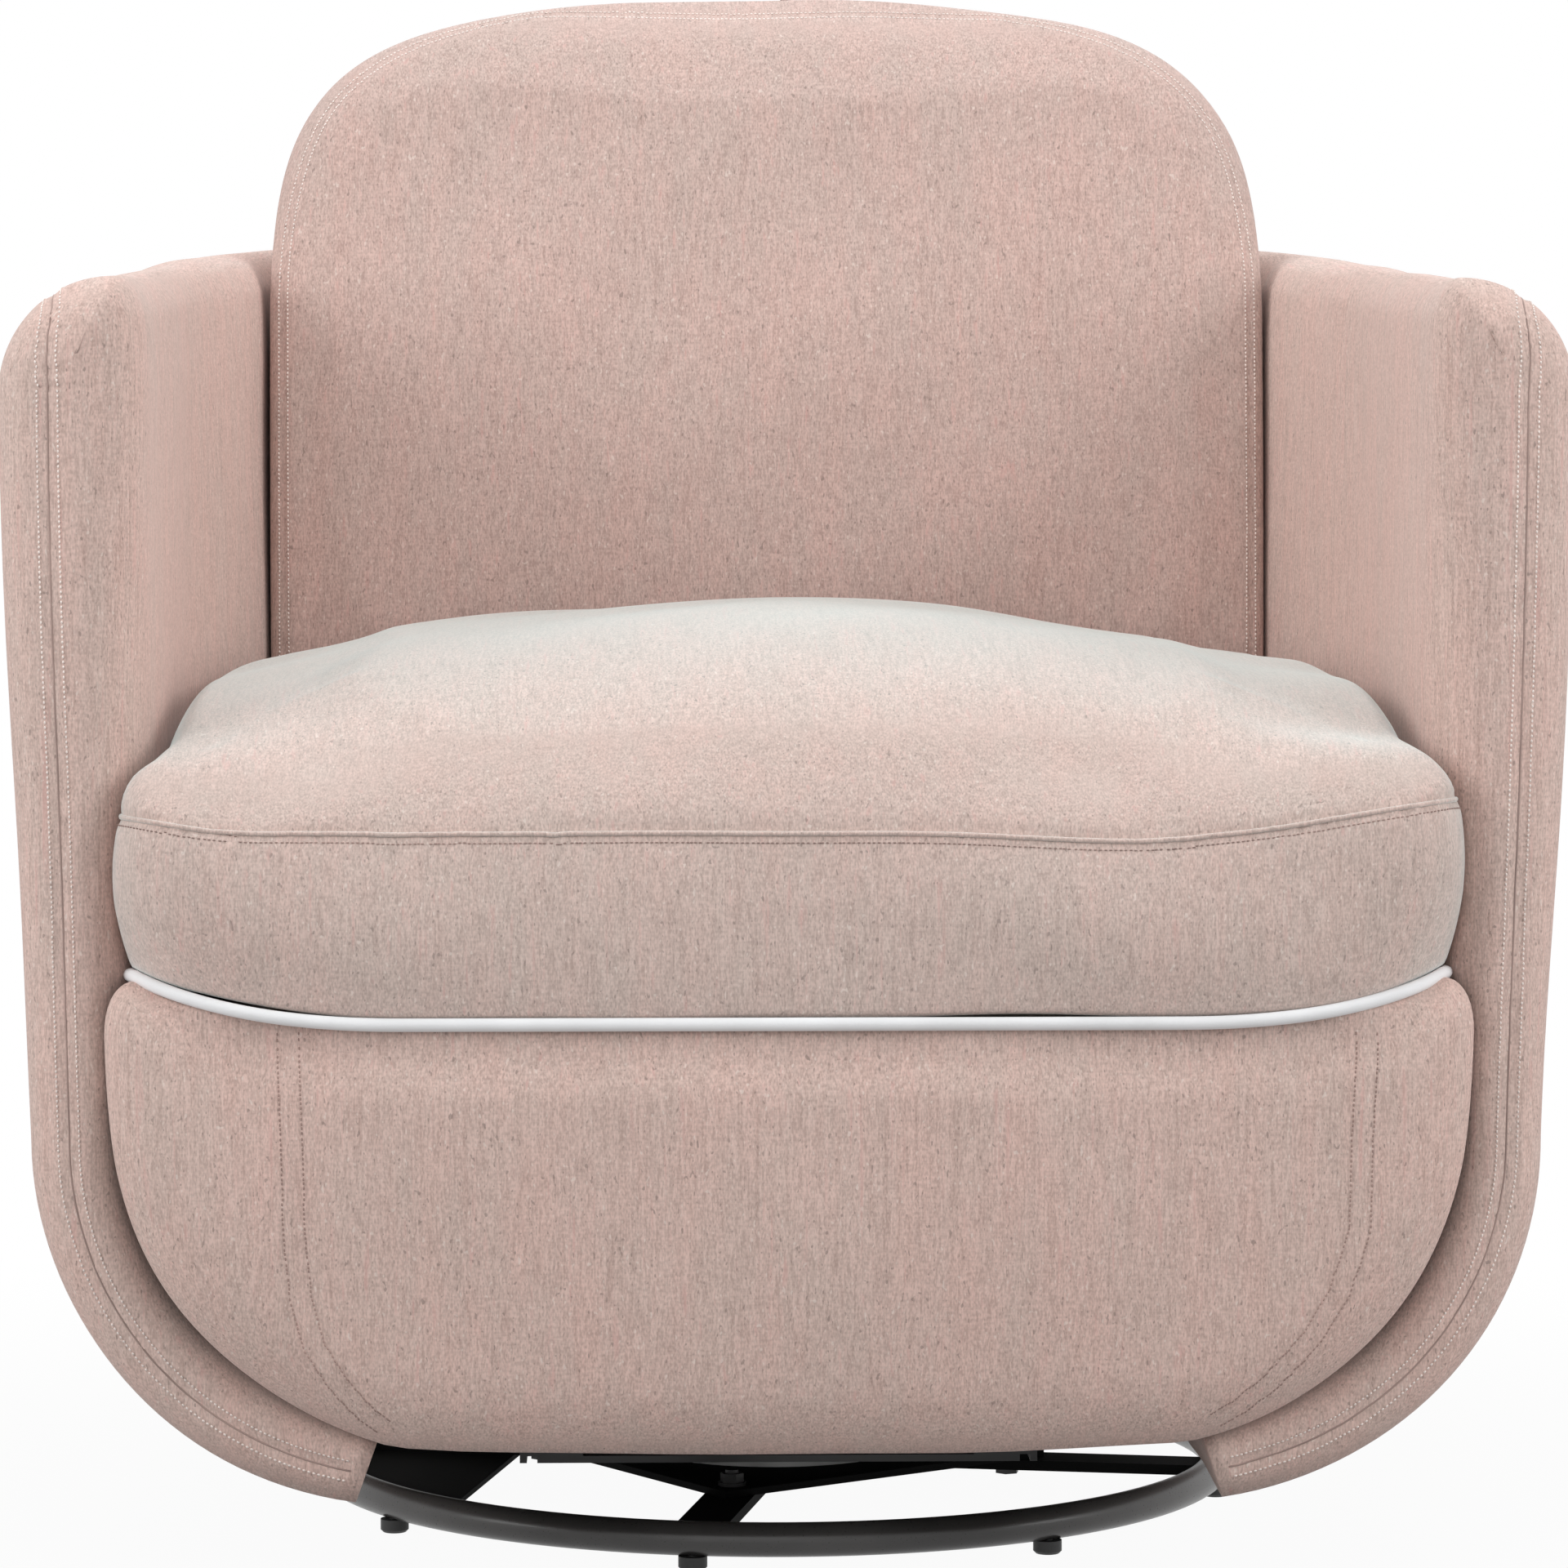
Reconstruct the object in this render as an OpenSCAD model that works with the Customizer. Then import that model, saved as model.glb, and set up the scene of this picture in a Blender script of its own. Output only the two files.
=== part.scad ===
// Swivel glider nursery chair: a barrel shell on a ring base, hung on four links so that it glides level.
// Z is up, the front faces -Y, and the origin is on the floor under the swivel axis.

/* [Floor ring] */
// Radius of the floor ring, to the middle of its tube
ring_r = 264; // [240:1:276]
// Outside radius of the ring tube
tube_r = 9.5; // [8:0.5:11]
// Wall of the ring tube
tube_wall = 1.6; // [1.2:0.1:2.5]
// Clear height under the ring tube
ring_lift = 7.5; // [6:0.5:12]
// Turn of the ring and its cross bars from straight ahead
base_turn = 11; // [0:1:45]
// Number of floor glides round the ring
glide_count = 8; // [4:4:8]
// Radius of a floor glide
glide_r = 8; // [6:0.5:9]
// Radius of the stem that holds a floor glide in the tube
stem_r = 3; // [2:0.5:4]
// Distance from the middle to the edge of the plate that fills the ring's left side
segment_x = 155; // [150:1:180]
// Width of a cross bar
bar_w = 29; // [22:1:34]
// Thickness of a cross bar
bar_t = 6; // [5:0.5:8]
// Side of the square base plate
plate_side = 230; // [210:1:250]
// Thickness of the base plate and the swivel plate
plate_t = 4; // [3:0.5:5]
// Distance from a plate corner to its bolt
corner_inset = 22; // [20:1:26]
// Radius of the plate bolts
plate_bolt_r = 4; // [3:0.5:5]

/* [Swivel bearing] */
// Radius of the circle that the bearing balls run on
race_r = 72; // [60:1:85]
// Radius of a bearing ball
ball_r = 3; // [2.5:0.5:4]
// Number of bearing balls
ball_count = 24; // [12:1:30]
// Thickness of each race
race_t = 5; // [4.5:0.5:6]
// Width of each race
race_w = 22; // [18:1:28]
// Radius of the king pin
king_r = 8; // [6:0.5:10]

/* [Carriage and links] */
// Distance from the middle to the inner face of a side plate
plate_x = 144; // [136:1:150]
// Thickness of side plates, links and glide rails
steel_t = 4; // [3:0.5:5]
// Gap between side plate and link, and between link and glide rail
link_gap = 4; // [4:0.5:6]
// Half of the distance between the front and rear links
hang_y = 110; // [95:1:125]
// Height of the upper pivots
upper_z = 210; // [200:1:214]
// Length of a link between its pivots
link_len = 105; // [95:1:112]
// Radius of a link's eye
eye_r = 14; // [13:0.5:16]
// Radius of a pivot pin
pin_r = 6; // [5:0.5:7]
// Radius of a bush, which is the bore of a link's eye
bush_r = 8.5; // [8:0.5:9]
// Radial clearance of a pivot pin in its bush
pin_play = 0.05; // [0.02:0.01:0.1]
// Radial clearance at the rear lower pivots
open_play = 0.4; // [0.2:0.05:0.8]

/* [Wood frame] */
// Gap between the side rails' rear ends and the shell
rail_gap = 12; // [10:1:20]
// Thickness of the rails
rail_t = 22; // [18:1:25]
// Height of the rails' lower edge
rail_z = 200; // [196:1:206]
// Height of the rails' upper edge
rail_top = 298; // [290:1:300]
// Front face of the front board
board_y = 348; // [340:1:352]
// Rear face of the back rail
back_y = 194; // [186:1:198]
// Height of the cross rails that rest on the glide rails
cross_h = 30; // [24:1:36]
// Width of a cross rail
cross_w = 35; // [30:1:40]
// Distance from the swivel axis to the middle of a cross rail
cross_y = 217; // [205:1:222]
// Recline of the inside back
recline = 8; // [5:1:10]
// Thickness of the plywood back board
back_ply = 15; // [12:1:18]

/* [Shell] */
// Half width of the shell at the top of the arms
shell_a = 414; // [411:1:420]
// Distance from the swivel axis to the back of the shell
shell_back = 425; // [420:1:435]
// Distance from the swivel axis to the front rim of the arms
nose_y = 385; // [378:1:387]
// Where the straight sides begin to curve round the back
bend_y = -180; // [-195:1:-170]
// Squareness of the barrel's plan at seat height and below
barrel_low_n = 3.2; // [3.1:0.1:3.5]
// Squareness of the barrel's plan at the top of the arms
barrel_top_n = 4; // [3.8:0.1:4.2]
// Thickness of the arms
arm_t = 77; // [74:1:80]
// Thickness of the shell at the back
back_t = 104; // [98:1:108]
// Height of the arms at the front rim
arm_front = 702; // [695:1:712]
// Height of the arms where they meet the back
arm_back = 738; // [730:1:748]
// Height at which the sides start to roll in
roll_z = 250; // [244:1:256]
// Lowest point of the shell
shell_low = 59; // [56:1:64]
// Half of the gap between the rolled-in lower edges
lobe_x = 230; // [222:1:238]
// How far the back rolls in, as a share of the sides' roll
back_roll = 0.45; // [0.3:0.05:0.5]
// Inward lean of the sides from the arms down to the roll
lean = 15; // [10:1:18]

/* [Cushions] */
// Distance from the swivel axis to the front of the seat
seat_front = 425; // [420:1:430]
// Height of the seat's lower seam, where the piping lies
piping_z = 316; // [314:1:320]
// How far the seat's front corners stand out over the arms' rim, on each side
seat_ear = 24; // [16:1:26]
// Radius of the piping
piping_r = 3.6; // [3:0.1:4.5]
// Height of the seat's upper seam
seam_z = 416; // [408:1:424]
// Height of the seat's crown
crown_z = 523; // [512:1:530]
// Front face of the inside back at seat height
inside_y = 95; // [88:1:100]
// Half width of the inside back
inside_x = 311; // [304:1:313]
// Height of the top of the inside back
inside_top = 895; // [880:1:905]
// Height at which the inside back's sides start to round
shoulder_z = 725; // [718:1:735]
// Height of the front panel's lower edge
belly_z = 86; // [84:1:92]
// Half width of the front panel at its widest
belly_x = 359; // [354:1:362]

/* [Hidden] */

// Small clearance between soft pieces and what they lie against
soft_gap = 0.3;
// Clearance of a shaft in a drilled hole that it only passes through
hole_play = 0.2;
// Room for the flats of a curved form
facet_gap = 4;

// Heights of the base, from the floor up
ring_z = ring_lift + tube_r;
bar_top = ring_z + bar_t / 2;
plate_top = bar_top + plate_t;
ball_z = plate_top + race_t + 1.2;
groove_r = ball_r + 0.05;
upper_race_z = 2 * ball_z - plate_top - race_t;
swivel_z = upper_race_z + race_t;
swivel_top = swivel_z + plate_t;
bolt_at = plate_side / sqrt(2) - corner_inset;
bolt_head_h = 4;
segment_t = 3;
bolt_head_r = 1.8 * plate_bolt_r;
nut_h = 7;
flange_h = 1.8;

// Places across the chair of the side plates, links and rails
link_x = plate_x + steel_t + link_gap;
rail_plate_x = link_x + steel_t + link_gap;
lower_z = upper_z - link_len;
clip_t = 2;
clip_r = pin_r + 3;
head_t = 3;

// Cross rails, which carry the wood frame on the glide rails
cross_z = rail_z + 32;
rail_foot_t = 4;
rail_foot_w = 46;
screw_r = 2.5;
screw_len = 22;
screw_xs = [rail_plate_x + 16, rail_plate_x + 36];
// The side rails run past the back rail to carry the rear cross rail
side_end = cross_y + cross_w / 2;

// Swivel plate and side plates
swivel_x = plate_x - 6;
swivel_y = hang_y + 25;
foot_w = 32;
tube_bolt_r = 4;
tube_bolt_len = 25;
cross_tube_r = 9;
cross_tube_y = 62;
cross_tube_z = upper_z - 35;

// Shell profile: the roll at the bottom, the walls above it and the rounded arm top
roll_in = 216;
roll_h = roll_z - shell_low + 5;
wall_low_t = 60;
roll_wall_t = 52;
cap_out = 60;
cap_in = arm_t - cap_out;
cap_h = 62;
cap_in_h = 36;
cap_z = arm_front - cap_h;
thick_z = 440;
nose_r = 34;
corner_r = 36;
shell_b = shell_back - bend_y;

// Squareness exponents of the soft forms
seat_n = 12;
dome_n = 5;
belly_n = 2.15;
shoulder_n = 3;

// Wood frame
rail_x = inner_x(side_end) - rail_gap;
corner_block = 60;
corner_block_low = 12;
board_low = 130;
board_taper = 60;
block_w = 60;
block_ys = [-300, -60];
block_gap = 2;
board_seat = 8;
board_top = inside_top - 25;
board_inset = 6;

// Seat springs, deck and dust cover
wire_r = 1.9;
spring_z = rail_top + 3;
spring_turns = 12;
spring_leg = 40;
spring_xs = [-200, -100, 0, 100, 200];
clip_w = 18;
deck_low = 2 * spring_z - rail_top + soft_gap;
deck_top = piping_z + piping_r - soft_gap;
cover_t = 1.2;
cover_gap = 6;
cover_hole_x = rail_plate_x + steel_t + head_t + 5;
cover_hole_y = side_end + cover_gap;

// Steps and levels of the soft forms
belly_mid = 290;
belly_deep = 26;
belly_round = 130;
belly_levels = [
    [0, 1, 0.58, 0.54], [0.12, 0.6, 0.34, 0.28], [0.35, 0.28, 0.14, 0.1],
    [0.65, 0.09, 0.04, 0.02], [1, 0, 0, 0]
];
belly_steps = 20;
seat_steps = 44;
lean_z = 450;
inside_low = deck_top + soft_gap;
outside_low = 560;
back_levels = [
    [0, 6], [0.02, 0], [0.35, -2], [0.6, 0], [0.72, 0], [0.78, 0.3], [0.83, 0.8], [0.87, 1.6],
    [0.905, 3.5], [0.935, 7], [0.96, 12], [0.98, 19], [0.993, 28], [1, 40]
];
outside_levels = [
    [0, 0], [0.35, 0], [0.58, 0], [0.7, 0.5], [0.8, 2], [0.88, 5],
    [0.935, 10], [0.975, 18], [1, 30]
];

// Steps along the curved forms
side_steps = 4;
back_steps = 24;
roll_steps = 6;

function sgn(v) = v < 0 ? -1 : 1;
function spow(v, e) = sgn(v) * pow(abs(v), e);
function clamp01(v) = min(1, max(0, v));

// Flat list of the points of a list of rings
function flat(rings) = [for (r = rings) for (p = r) p];

// Triangles between neighbouring rings of n points
function wall_faces(rows, n) = [
    for (i = [0 : rows - 2])
        for (j = [0 : n - 1])
            let (a = i * n + j, b = i * n + (j + 1) % n)
                each [[a, a + n, b], [b, a + n, b + n]]
];

// Triangles of a convex end ring
function fan_faces(start, n, turned) = [
    for (j = [1 : n - 2])
        turned ? [start, start + j, start + j + 1] : [start, start + j + 1, start + j]
];

// Triangles of an end ring made of an outer and an inner line, each of n / 2 points
function strip_faces(start, n, turned) = [
    for (j = [0 : n / 2 - 2])
        let (a = start + j, b = start + j + 1, c = start + n - 2 - j, d = start + n - 1 - j)
            each (turned ? [[a, b, d], [b, c, d]] : [[a, d, b], [b, d, c]])
];

// Solid through a list of convex rings
module loft(rings) {
    n = len(rings[0]);
    rows = len(rings);
    polyhedron(
        points = flat(rings),
        faces = concat(wall_faces(rows, n), fan_faces(0, n, true), fan_faces((rows - 1) * n, n, false))
    );
}

// Turns the children to the cross bars' direction
module turned() {
    rotate([0, 0, -base_turn])
        children();
}

// Places the children at the four corners of the base plate
module at_corners() {
    turned()
        for (k = [0 : 3])
            rotate([0, 0, 90 * k])
                translate([0, -bolt_at, 0])
                    children();
}

// Cylinder along X from x0 to x1, at a height z and a depth y
module along_x(x0, x1, y, z, r) {
    translate([x0, y, z])
        rotate([0, 90, 0])
            cylinder(r = r, h = x1 - x0, $fn = 48);
}

// Plate of an outline in the Y-Z plane, from x0, thick
module side_sheet(x0, thick) {
    translate([x0, 0, 0])
        rotate([90, 0, 90])
            linear_extrude(height = thick)
                children();
}

// Children on the right, and again on the left
module both_sides() {
    children();
    mirror([1, 0, 0])
        children();
}

/* ---- Base ---- */

module ring_solid(r) {
    translate([0, 0, ring_z])
        rotate_extrude($fn = 96)
            translate([ring_r, 0])
                circle(r = r, $fn = 40);
}

module base_ring() {
    color("#1d1b1b")
        difference() {
            ring_solid(tube_r);
            ring_solid(tube_r - tube_wall);
            for (k = [0 : glide_count - 1])
                rotate([0, 0, k * 360 / glide_count - base_turn])
                    translate([0, -ring_r, 0])
                        cylinder(r = stem_r + hole_play, h = ring_z, $fn = 32);
        }
}

module bar_box(x0, x1) {
    translate([x0, -bar_w / 2, ring_z - bar_t / 2])
        cube([x1 - x0, bar_w, bar_t]);
}

// One whole bar and two half bars, welded between the ring's inside and each other
module cross_bars() {
    color("#1d1b1b")
        difference() {
            turned() {
                rotate([0, 0, 90])
                    bar_box(-ring_r, ring_r);
                bar_box(-ring_r, -bar_w / 2);
                bar_box(bar_w / 2, ring_r);
            }
            ring_solid(tube_r);
            at_corners()
                cylinder(r = plate_bolt_r, h = plate_top, $fn = 32);
            cylinder(r = king_r, h = plate_top, $fn = 48);
        }
}

// Flat plate welded into the left side of the ring, under the left bar's end
module segment_plate() {
    color("#1d1b1b")
        difference() {
            turned()
                translate([0, 0, ring_z - bar_t / 2 - segment_t])
                    intersection() {
                        cylinder(r = ring_r, h = segment_t, $fn = 96);
                        translate([-ring_r, -ring_r, 0])
                            cube([ring_r - segment_x, 2 * ring_r, segment_t]);
                    }
            ring_solid(tube_r);
        }
}

module base_plate() {
    color("#1d1b1b")
        difference() {
            turned()
                rotate([0, 0, 45])
                    translate([-plate_side / 2, -plate_side / 2, bar_top])
                        cube([plate_side, plate_side, plate_t]);
            at_corners()
                cylinder(r = plate_bolt_r, h = 2 * plate_top, $fn = 32);
            cylinder(r = king_r, h = 2 * plate_top, $fn = 48);
        }
}

module plate_bolts() {
    color("#2a2828")
        at_corners() {
            translate([0, 0, ring_z - bar_t / 2 - bolt_head_h])
                cylinder(r = bolt_head_r, h = bolt_head_h, $fn = 6);
            translate([0, 0, ring_z - bar_t / 2])
                cylinder(r = plate_bolt_r, h = bar_t + plate_t + nut_h + 2, $fn = 32);
        }
}

module plate_nuts() {
    color("#2a2828")
        at_corners()
            translate([0, 0, plate_top])
                difference() {
                    union() {
                        cylinder(r = 2 * plate_bolt_r, h = flange_h, $fn = 40);
                        cylinder(r = 1.7 * plate_bolt_r, h = nut_h, $fn = 6);
                    }
                    cylinder(r = plate_bolt_r, h = nut_h + 1, $fn = 32);
                }
}

module floor_glides() {
    color("#161616")
        for (k = [0 : glide_count - 1])
            rotate([0, 0, k * 360 / glide_count - base_turn])
                translate([0, -ring_r, 0])
                    union() {
                        cylinder(r1 = glide_r - 1.5, r2 = glide_r, h = 1.5, $fn = 40);
                        translate([0, 0, 1.5])
                            cylinder(r = glide_r, h = ring_lift - 1.5, $fn = 40);
                        translate([0, 0, ring_lift])
                            cylinder(r = stem_r, h = tube_r, $fn = 32);
                    }
}

/* ---- Swivel bearing ---- */

// Race ring from height z, with the ball groove cut from it
module race(z) {
    color("silver")
        difference() {
            rotate_extrude($fn = 96)
                translate([race_r - race_w / 2, z])
                    square([race_w, race_t]);
            translate([0, 0, ball_z])
                rotate_extrude($fn = 96)
                    translate([race_r, 0])
                        circle(r = groove_r, $fn = 40);
        }
}

module lower_race() {
    race(plate_top);
}

module upper_race() {
    race(upper_race_z);
}

module race_balls() {
    color("gainsboro")
        for (k = [0 : ball_count - 1])
            rotate([0, 0, k * 360 / ball_count])
                translate([race_r, 0, ball_z])
                    sphere(r = ball_r, $fn = 32);
}

// The head lies under the bars and the shank stands through both plates
module king_pin() {
    color("silver") {
        translate([0, 0, ring_z - bar_t / 2 - bolt_head_h])
            cylinder(r = 1.6 * king_r, h = bolt_head_h, $fn = 48);
        translate([0, 0, ring_z - bar_t / 2])
            cylinder(r = king_r, h = swivel_top + head_t - ring_z + bar_t / 2, $fn = 48);
    }
}

/* ---- Carriage ---- */

module swivel_plate() {
    color("#232121")
        difference() {
            translate([-swivel_x, -swivel_y, swivel_z])
                cube([2 * swivel_x, 2 * swivel_y, plate_t]);
            cylinder(r = king_r + pin_play, h = 2 * swivel_top, $fn = 48);
        }
}

// Retaining collar of the king pin, turning with the swivel plate
module king_nut() {
    color("silver")
        translate([0, 0, swivel_top])
            difference() {
                cylinder(r = 2 * king_r, h = 2.5, $fn = 48);
                cylinder(r = king_r + pin_play, h = 3, $fn = 48);
            }
}

// Side plate on the right: a foot on the swivel plate and a web with two pivot ears
module side_plate() {
    web_z = swivel_top;
    difference() {
        union() {
            side_sheet(plate_x, steel_t)
                union() {
                    polygon([
                        [-swivel_y, web_z - plate_t],
                        [swivel_y, web_z - plate_t],
                        [hang_y + eye_r, upper_z],
                        [-hang_y - eye_r, upper_z]
                    ]);
                    for (s = [-1, 1])
                        translate([s * hang_y, upper_z])
                            circle(r = eye_r, $fn = 48);
                }
            translate([plate_x - foot_w, -swivel_y, web_z])
                cube([foot_w, 2 * swivel_y, steel_t]);
        }
        // scoop between the ears
        side_sheet(plate_x - 1, steel_t + 2)
            translate([-hang_y + 2 * eye_r, upper_z - 12])
                square([2 * hang_y - 4 * eye_r, 40]);
        // window that lightens the web
        side_sheet(plate_x - 1, steel_t + 2)
            polygon([
                [-hang_y + 25, web_z + 25],
                [hang_y - 25, web_z + 25],
                [hang_y - 45, cross_tube_z - 22],
                [-hang_y + 45, cross_tube_z - 22]
            ]);
        for (s = [-1, 1]) {
            along_x(plate_x - 1, plate_x + steel_t + 1, s * hang_y, upper_z, pin_r);
            along_x(plate_x - 1, plate_x + steel_t + 1, s * cross_tube_y, cross_tube_z, tube_bolt_r);
        }
    }
}

module side_plate_right() {
    color("#232121")
        side_plate();
}

module side_plate_left() {
    color("#232121")
        mirror([1, 0, 0])
            side_plate();
}

// Two tubes that hold the side plates apart
module cross_tubes() {
    color("#232121")
        for (s = [-1, 1])
            difference() {
                along_x(-plate_x, plate_x, s * cross_tube_y, cross_tube_z, cross_tube_r);
                along_x(-plate_x - 1, plate_x + 1, s * cross_tube_y, cross_tube_z, tube_bolt_r);
            }
}

module tube_bolts() {
    color("silver")
        both_sides()
            for (s = [-1, 1])
                union() {
                    along_x(plate_x - tube_bolt_len, plate_x + steel_t, s * cross_tube_y, cross_tube_z, tube_bolt_r);
                    along_x(plate_x + steel_t, plate_x + steel_t + 2.5, s * cross_tube_y, cross_tube_z, 7);
                }
}

// Pin from an inner head, through the side plate and the link, to a clip beyond the link
module upper_pins() {
    color("silver")
        both_sides()
            for (s = [-1, 1])
                union() {
                    along_x(plate_x - head_t, plate_x, s * hang_y, upper_z, clip_r);
                    along_x(plate_x, link_x + steel_t + 0.6, s * hang_y, upper_z, pin_r);
                    along_x(link_x + steel_t + 0.6, link_x + steel_t + clip_t, s * hang_y, upper_z, clip_r);
                    along_x(plate_x + steel_t, link_x - 0.4, s * hang_y, upper_z, clip_r);
                }
}

/* ---- Hanging links ---- */

// Flat link with a drilled eye at each end
module hanger(y) {
    side_sheet(link_x, steel_t)
        translate([y, lower_z])
            difference() {
                union() {
                    circle(r = eye_r, $fn = 48);
                    translate([0, link_len])
                        circle(r = eye_r, $fn = 48);
                    translate([-eye_r, 0])
                        square([2 * eye_r, link_len]);
                }
                circle(r = bush_r, $fn = 48);
                translate([0, link_len])
                    circle(r = bush_r, $fn = 48);
            }
}

// Nylon bush in an eye, bored for the pin
module bush(y, z, bore) {
    difference() {
        along_x(link_x, link_x + steel_t, y, z, bush_r);
        along_x(link_x - 1, link_x + steel_t + 1, y, z, bore);
    }
}

module front_hangers() {
    color("#2b2929")
        both_sides()
            hanger(-hang_y);
}

module rear_hangers() {
    color("#2b2929")
        both_sides()
            hanger(hang_y);
}

module front_bushes() {
    color("ivory")
        both_sides() {
            bush(-hang_y, upper_z, pin_r + pin_play);
            bush(-hang_y, lower_z, pin_r + pin_play);
        }
}

module rear_bushes() {
    color("ivory")
        both_sides() {
            bush(hang_y, upper_z, pin_r + pin_play);
            bush(hang_y, lower_z, pin_r + open_play);
        }
}

/* ---- Gliding frame ---- */

// Cradle on the right: a low bar with the pivot holes, an upright at each end and a foot under each cross rail
module glide_rail() {
    low = lower_z - eye_r - 1;
    high = lower_z + eye_r + 5;
    outer_y = cross_y + cross_w / 2;
    inner_y = cross_y - cross_w / 2;
    difference() {
        union() {
            side_sheet(rail_plate_x, steel_t)
                polygon([
                    [-outer_y + 20, low],
                    [outer_y - 20, low],
                    [outer_y, low + 20],
                    [outer_y, cross_z],
                    [inner_y, cross_z],
                    [inner_y, high + 15],
                    [inner_y - 15, high],
                    [-inner_y + 15, high],
                    [-inner_y, high + 15],
                    [-inner_y, cross_z],
                    [-outer_y, cross_z],
                    [-outer_y, low + 20]
                ]);
            for (s = [-1, 1])
                translate([rail_plate_x, s * cross_y - cross_w / 2, cross_z - rail_foot_t])
                    cube([rail_foot_w, cross_w, rail_foot_t]);
        }
        for (s = [-1, 1]) {
            along_x(rail_plate_x - 1, rail_plate_x + steel_t + 1, s * hang_y, lower_z, pin_r);
            for (x = screw_xs)
                translate([x, s * cross_y, cross_z - 2 * rail_foot_t])
                    cylinder(r = screw_r, h = 3 * rail_foot_t, $fn = 24);
        }
    }
}

module glide_rail_right() {
    color("#2b2929")
        glide_rail();
}

module glide_rail_left() {
    color("#2b2929")
        mirror([1, 0, 0])
            glide_rail();
}

// Pin from an outer head, through the glide rail and the link, to a clip inside the link
module lower_pin(y) {
    union() {
        along_x(rail_plate_x + steel_t, rail_plate_x + steel_t + head_t, y, lower_z, clip_r);
        along_x(link_x - 0.6, rail_plate_x + steel_t, y, lower_z, pin_r);
        along_x(link_x - clip_t, link_x - 0.6, y, lower_z, clip_r);
        along_x(link_x + steel_t + 0.4, rail_plate_x, y, lower_z, clip_r);
    }
}

module front_lower_pins() {
    color("silver")
        both_sides()
            lower_pin(-hang_y);
}

module rear_lower_pins() {
    color("silver")
        both_sides()
            lower_pin(hang_y);
}

// Hardwood rail between the side rails, resting on the glide rails' feet
module cross_rail(s) {
    difference() {
        translate([-rail_x + rail_t, s * cross_y - cross_w / 2, cross_z])
            cube([2 * (rail_x - rail_t), cross_w, cross_h]);
        both_sides()
            for (x = screw_xs)
                translate([x, s * cross_y, cross_z])
                    cylinder(r = screw_r, h = screw_len, $fn = 24);
    }
}

module front_cross_rail() {
    color("burlywood")
        cross_rail(-1);
}

module rear_cross_rail() {
    color("burlywood")
        cross_rail(1);
}

module rail_screws() {
    color("silver")
        both_sides()
            for (s = [-1, 1])
                for (x = screw_xs)
                    translate([x, s * cross_y, 0])
                        union() {
                            translate([0, 0, cross_z - rail_foot_t - 3])
                                cylinder(r = 2 * screw_r, h = 3, $fn = 24);
                            translate([0, 0, cross_z - rail_foot_t])
                                cylinder(r = screw_r, h = screw_len + rail_foot_t, $fn = 24);
                        }
}

module side_rail() {
    translate([rail_x - rail_t, -board_y + rail_t, rail_z])
        cube([rail_t, board_y - rail_t + side_end, rail_top - rail_z]);
}

module side_rail_right() {
    color("burlywood")
        side_rail();
}

module side_rail_left() {
    color("burlywood")
        mirror([1, 0, 0])
            side_rail();
}

// Upright board across the front, which the padded front panel is stapled to
module front_board() {
    color("tan")
        translate([0, -board_y + rail_t, 0])
            rotate([90, 0, 0])
                linear_extrude(height = rail_t)
                    polygon([
                        [-rail_x, rail_top],
                        [-rail_x, board_low + board_taper],
                        [-rail_x + board_taper, board_low],
                        [rail_x - board_taper, board_low],
                        [rail_x, board_low + board_taper],
                        [rail_x, rail_top]
                    ]);
}

module back_rail() {
    color("burlywood")
        translate([-rail_x + rail_t, back_y - rail_t, rail_z])
            cube([2 * (rail_x - rail_t), rail_t, rail_top - rail_z]);
}

// Triangular blocks glued into the front corners of the frame and ahead of the back rail
module corner_blocks() {
    low = cross_z + cross_h + 1;
    color("burlywood")
        both_sides()
            for (c = [[-board_y + rail_t, 1], [back_y - rail_t, -1]])
                translate([rail_x - rail_t, c[0], low])
                    linear_extrude(height = rail_top - corner_block_low - low)
                        polygon([[0, 0], [-corner_block, 0], [0, c[1] * corner_block]]);
}

// Blocks that fasten the barrel shell to the wood frame
module shell_blocks() {
    color("tan") {
        both_sides()
            for (y = block_ys)
                translate([rail_x, y, roll_z])
                    cube([inner_x(y + block_w) - block_gap - rail_x, block_w, 36]);
        translate([-block_w, side_end, cross_z])
            cube([2 * block_w, bend_y + shell_b - lean - wall_low_t - 3 * block_gap - side_end, cross_h]);
    }
}

// Zigzag seat spring of round wire, from the front board to the back rail
module zigzag(x) {
    reach = back_y - rail_t - (-board_y + rail_t);
    pitch = reach / spring_turns;
    leg = spring_leg;
    for (k = [0 : spring_turns - 1]) {
        side = k % 2 == 0 ? 1 : -1;
        y = -board_y + rail_t + (k + 0.5) * pitch;
        translate([x + side * leg / 2, y, spring_z])
            rotate([0, 0, side > 0 ? -90 : 90])
                rotate_extrude(angle = 180, $fn = 48)
                    translate([pitch / 2, 0])
                        circle(r = wire_r, $fn = 24);
        if (k > 0)
            along_x(x - leg / 2, x + leg / 2, y - pitch / 2, spring_z, wire_r);
    }
    for (y = [-board_y + rail_t, back_y - rail_t])
        along_x(x - leg / 2, x + leg / 2, y, spring_z, wire_r);
}

module seat_springs() {
    color("dimgray")
        for (x = spring_xs)
            zigzag(x);
}

// Clip at each end of each spring, screwed to the top of the rail and bored for the wire
module spring_clips() {
    color("silver")
        for (x = spring_xs)
            for (e = [[-board_y + rail_t, 1], [back_y - rail_t, -1]])
                difference() {
                    translate([x - clip_w / 2, e[0] - (e[1] > 0 ? 7 : 6), rail_top])
                        cube([clip_w, 13, 2 * (spring_z - rail_top)]);
                    along_x(x - clip_w, x + clip_w, e[0], spring_z, wire_r);
                }
}

/* ---- Shell ---- */

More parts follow.
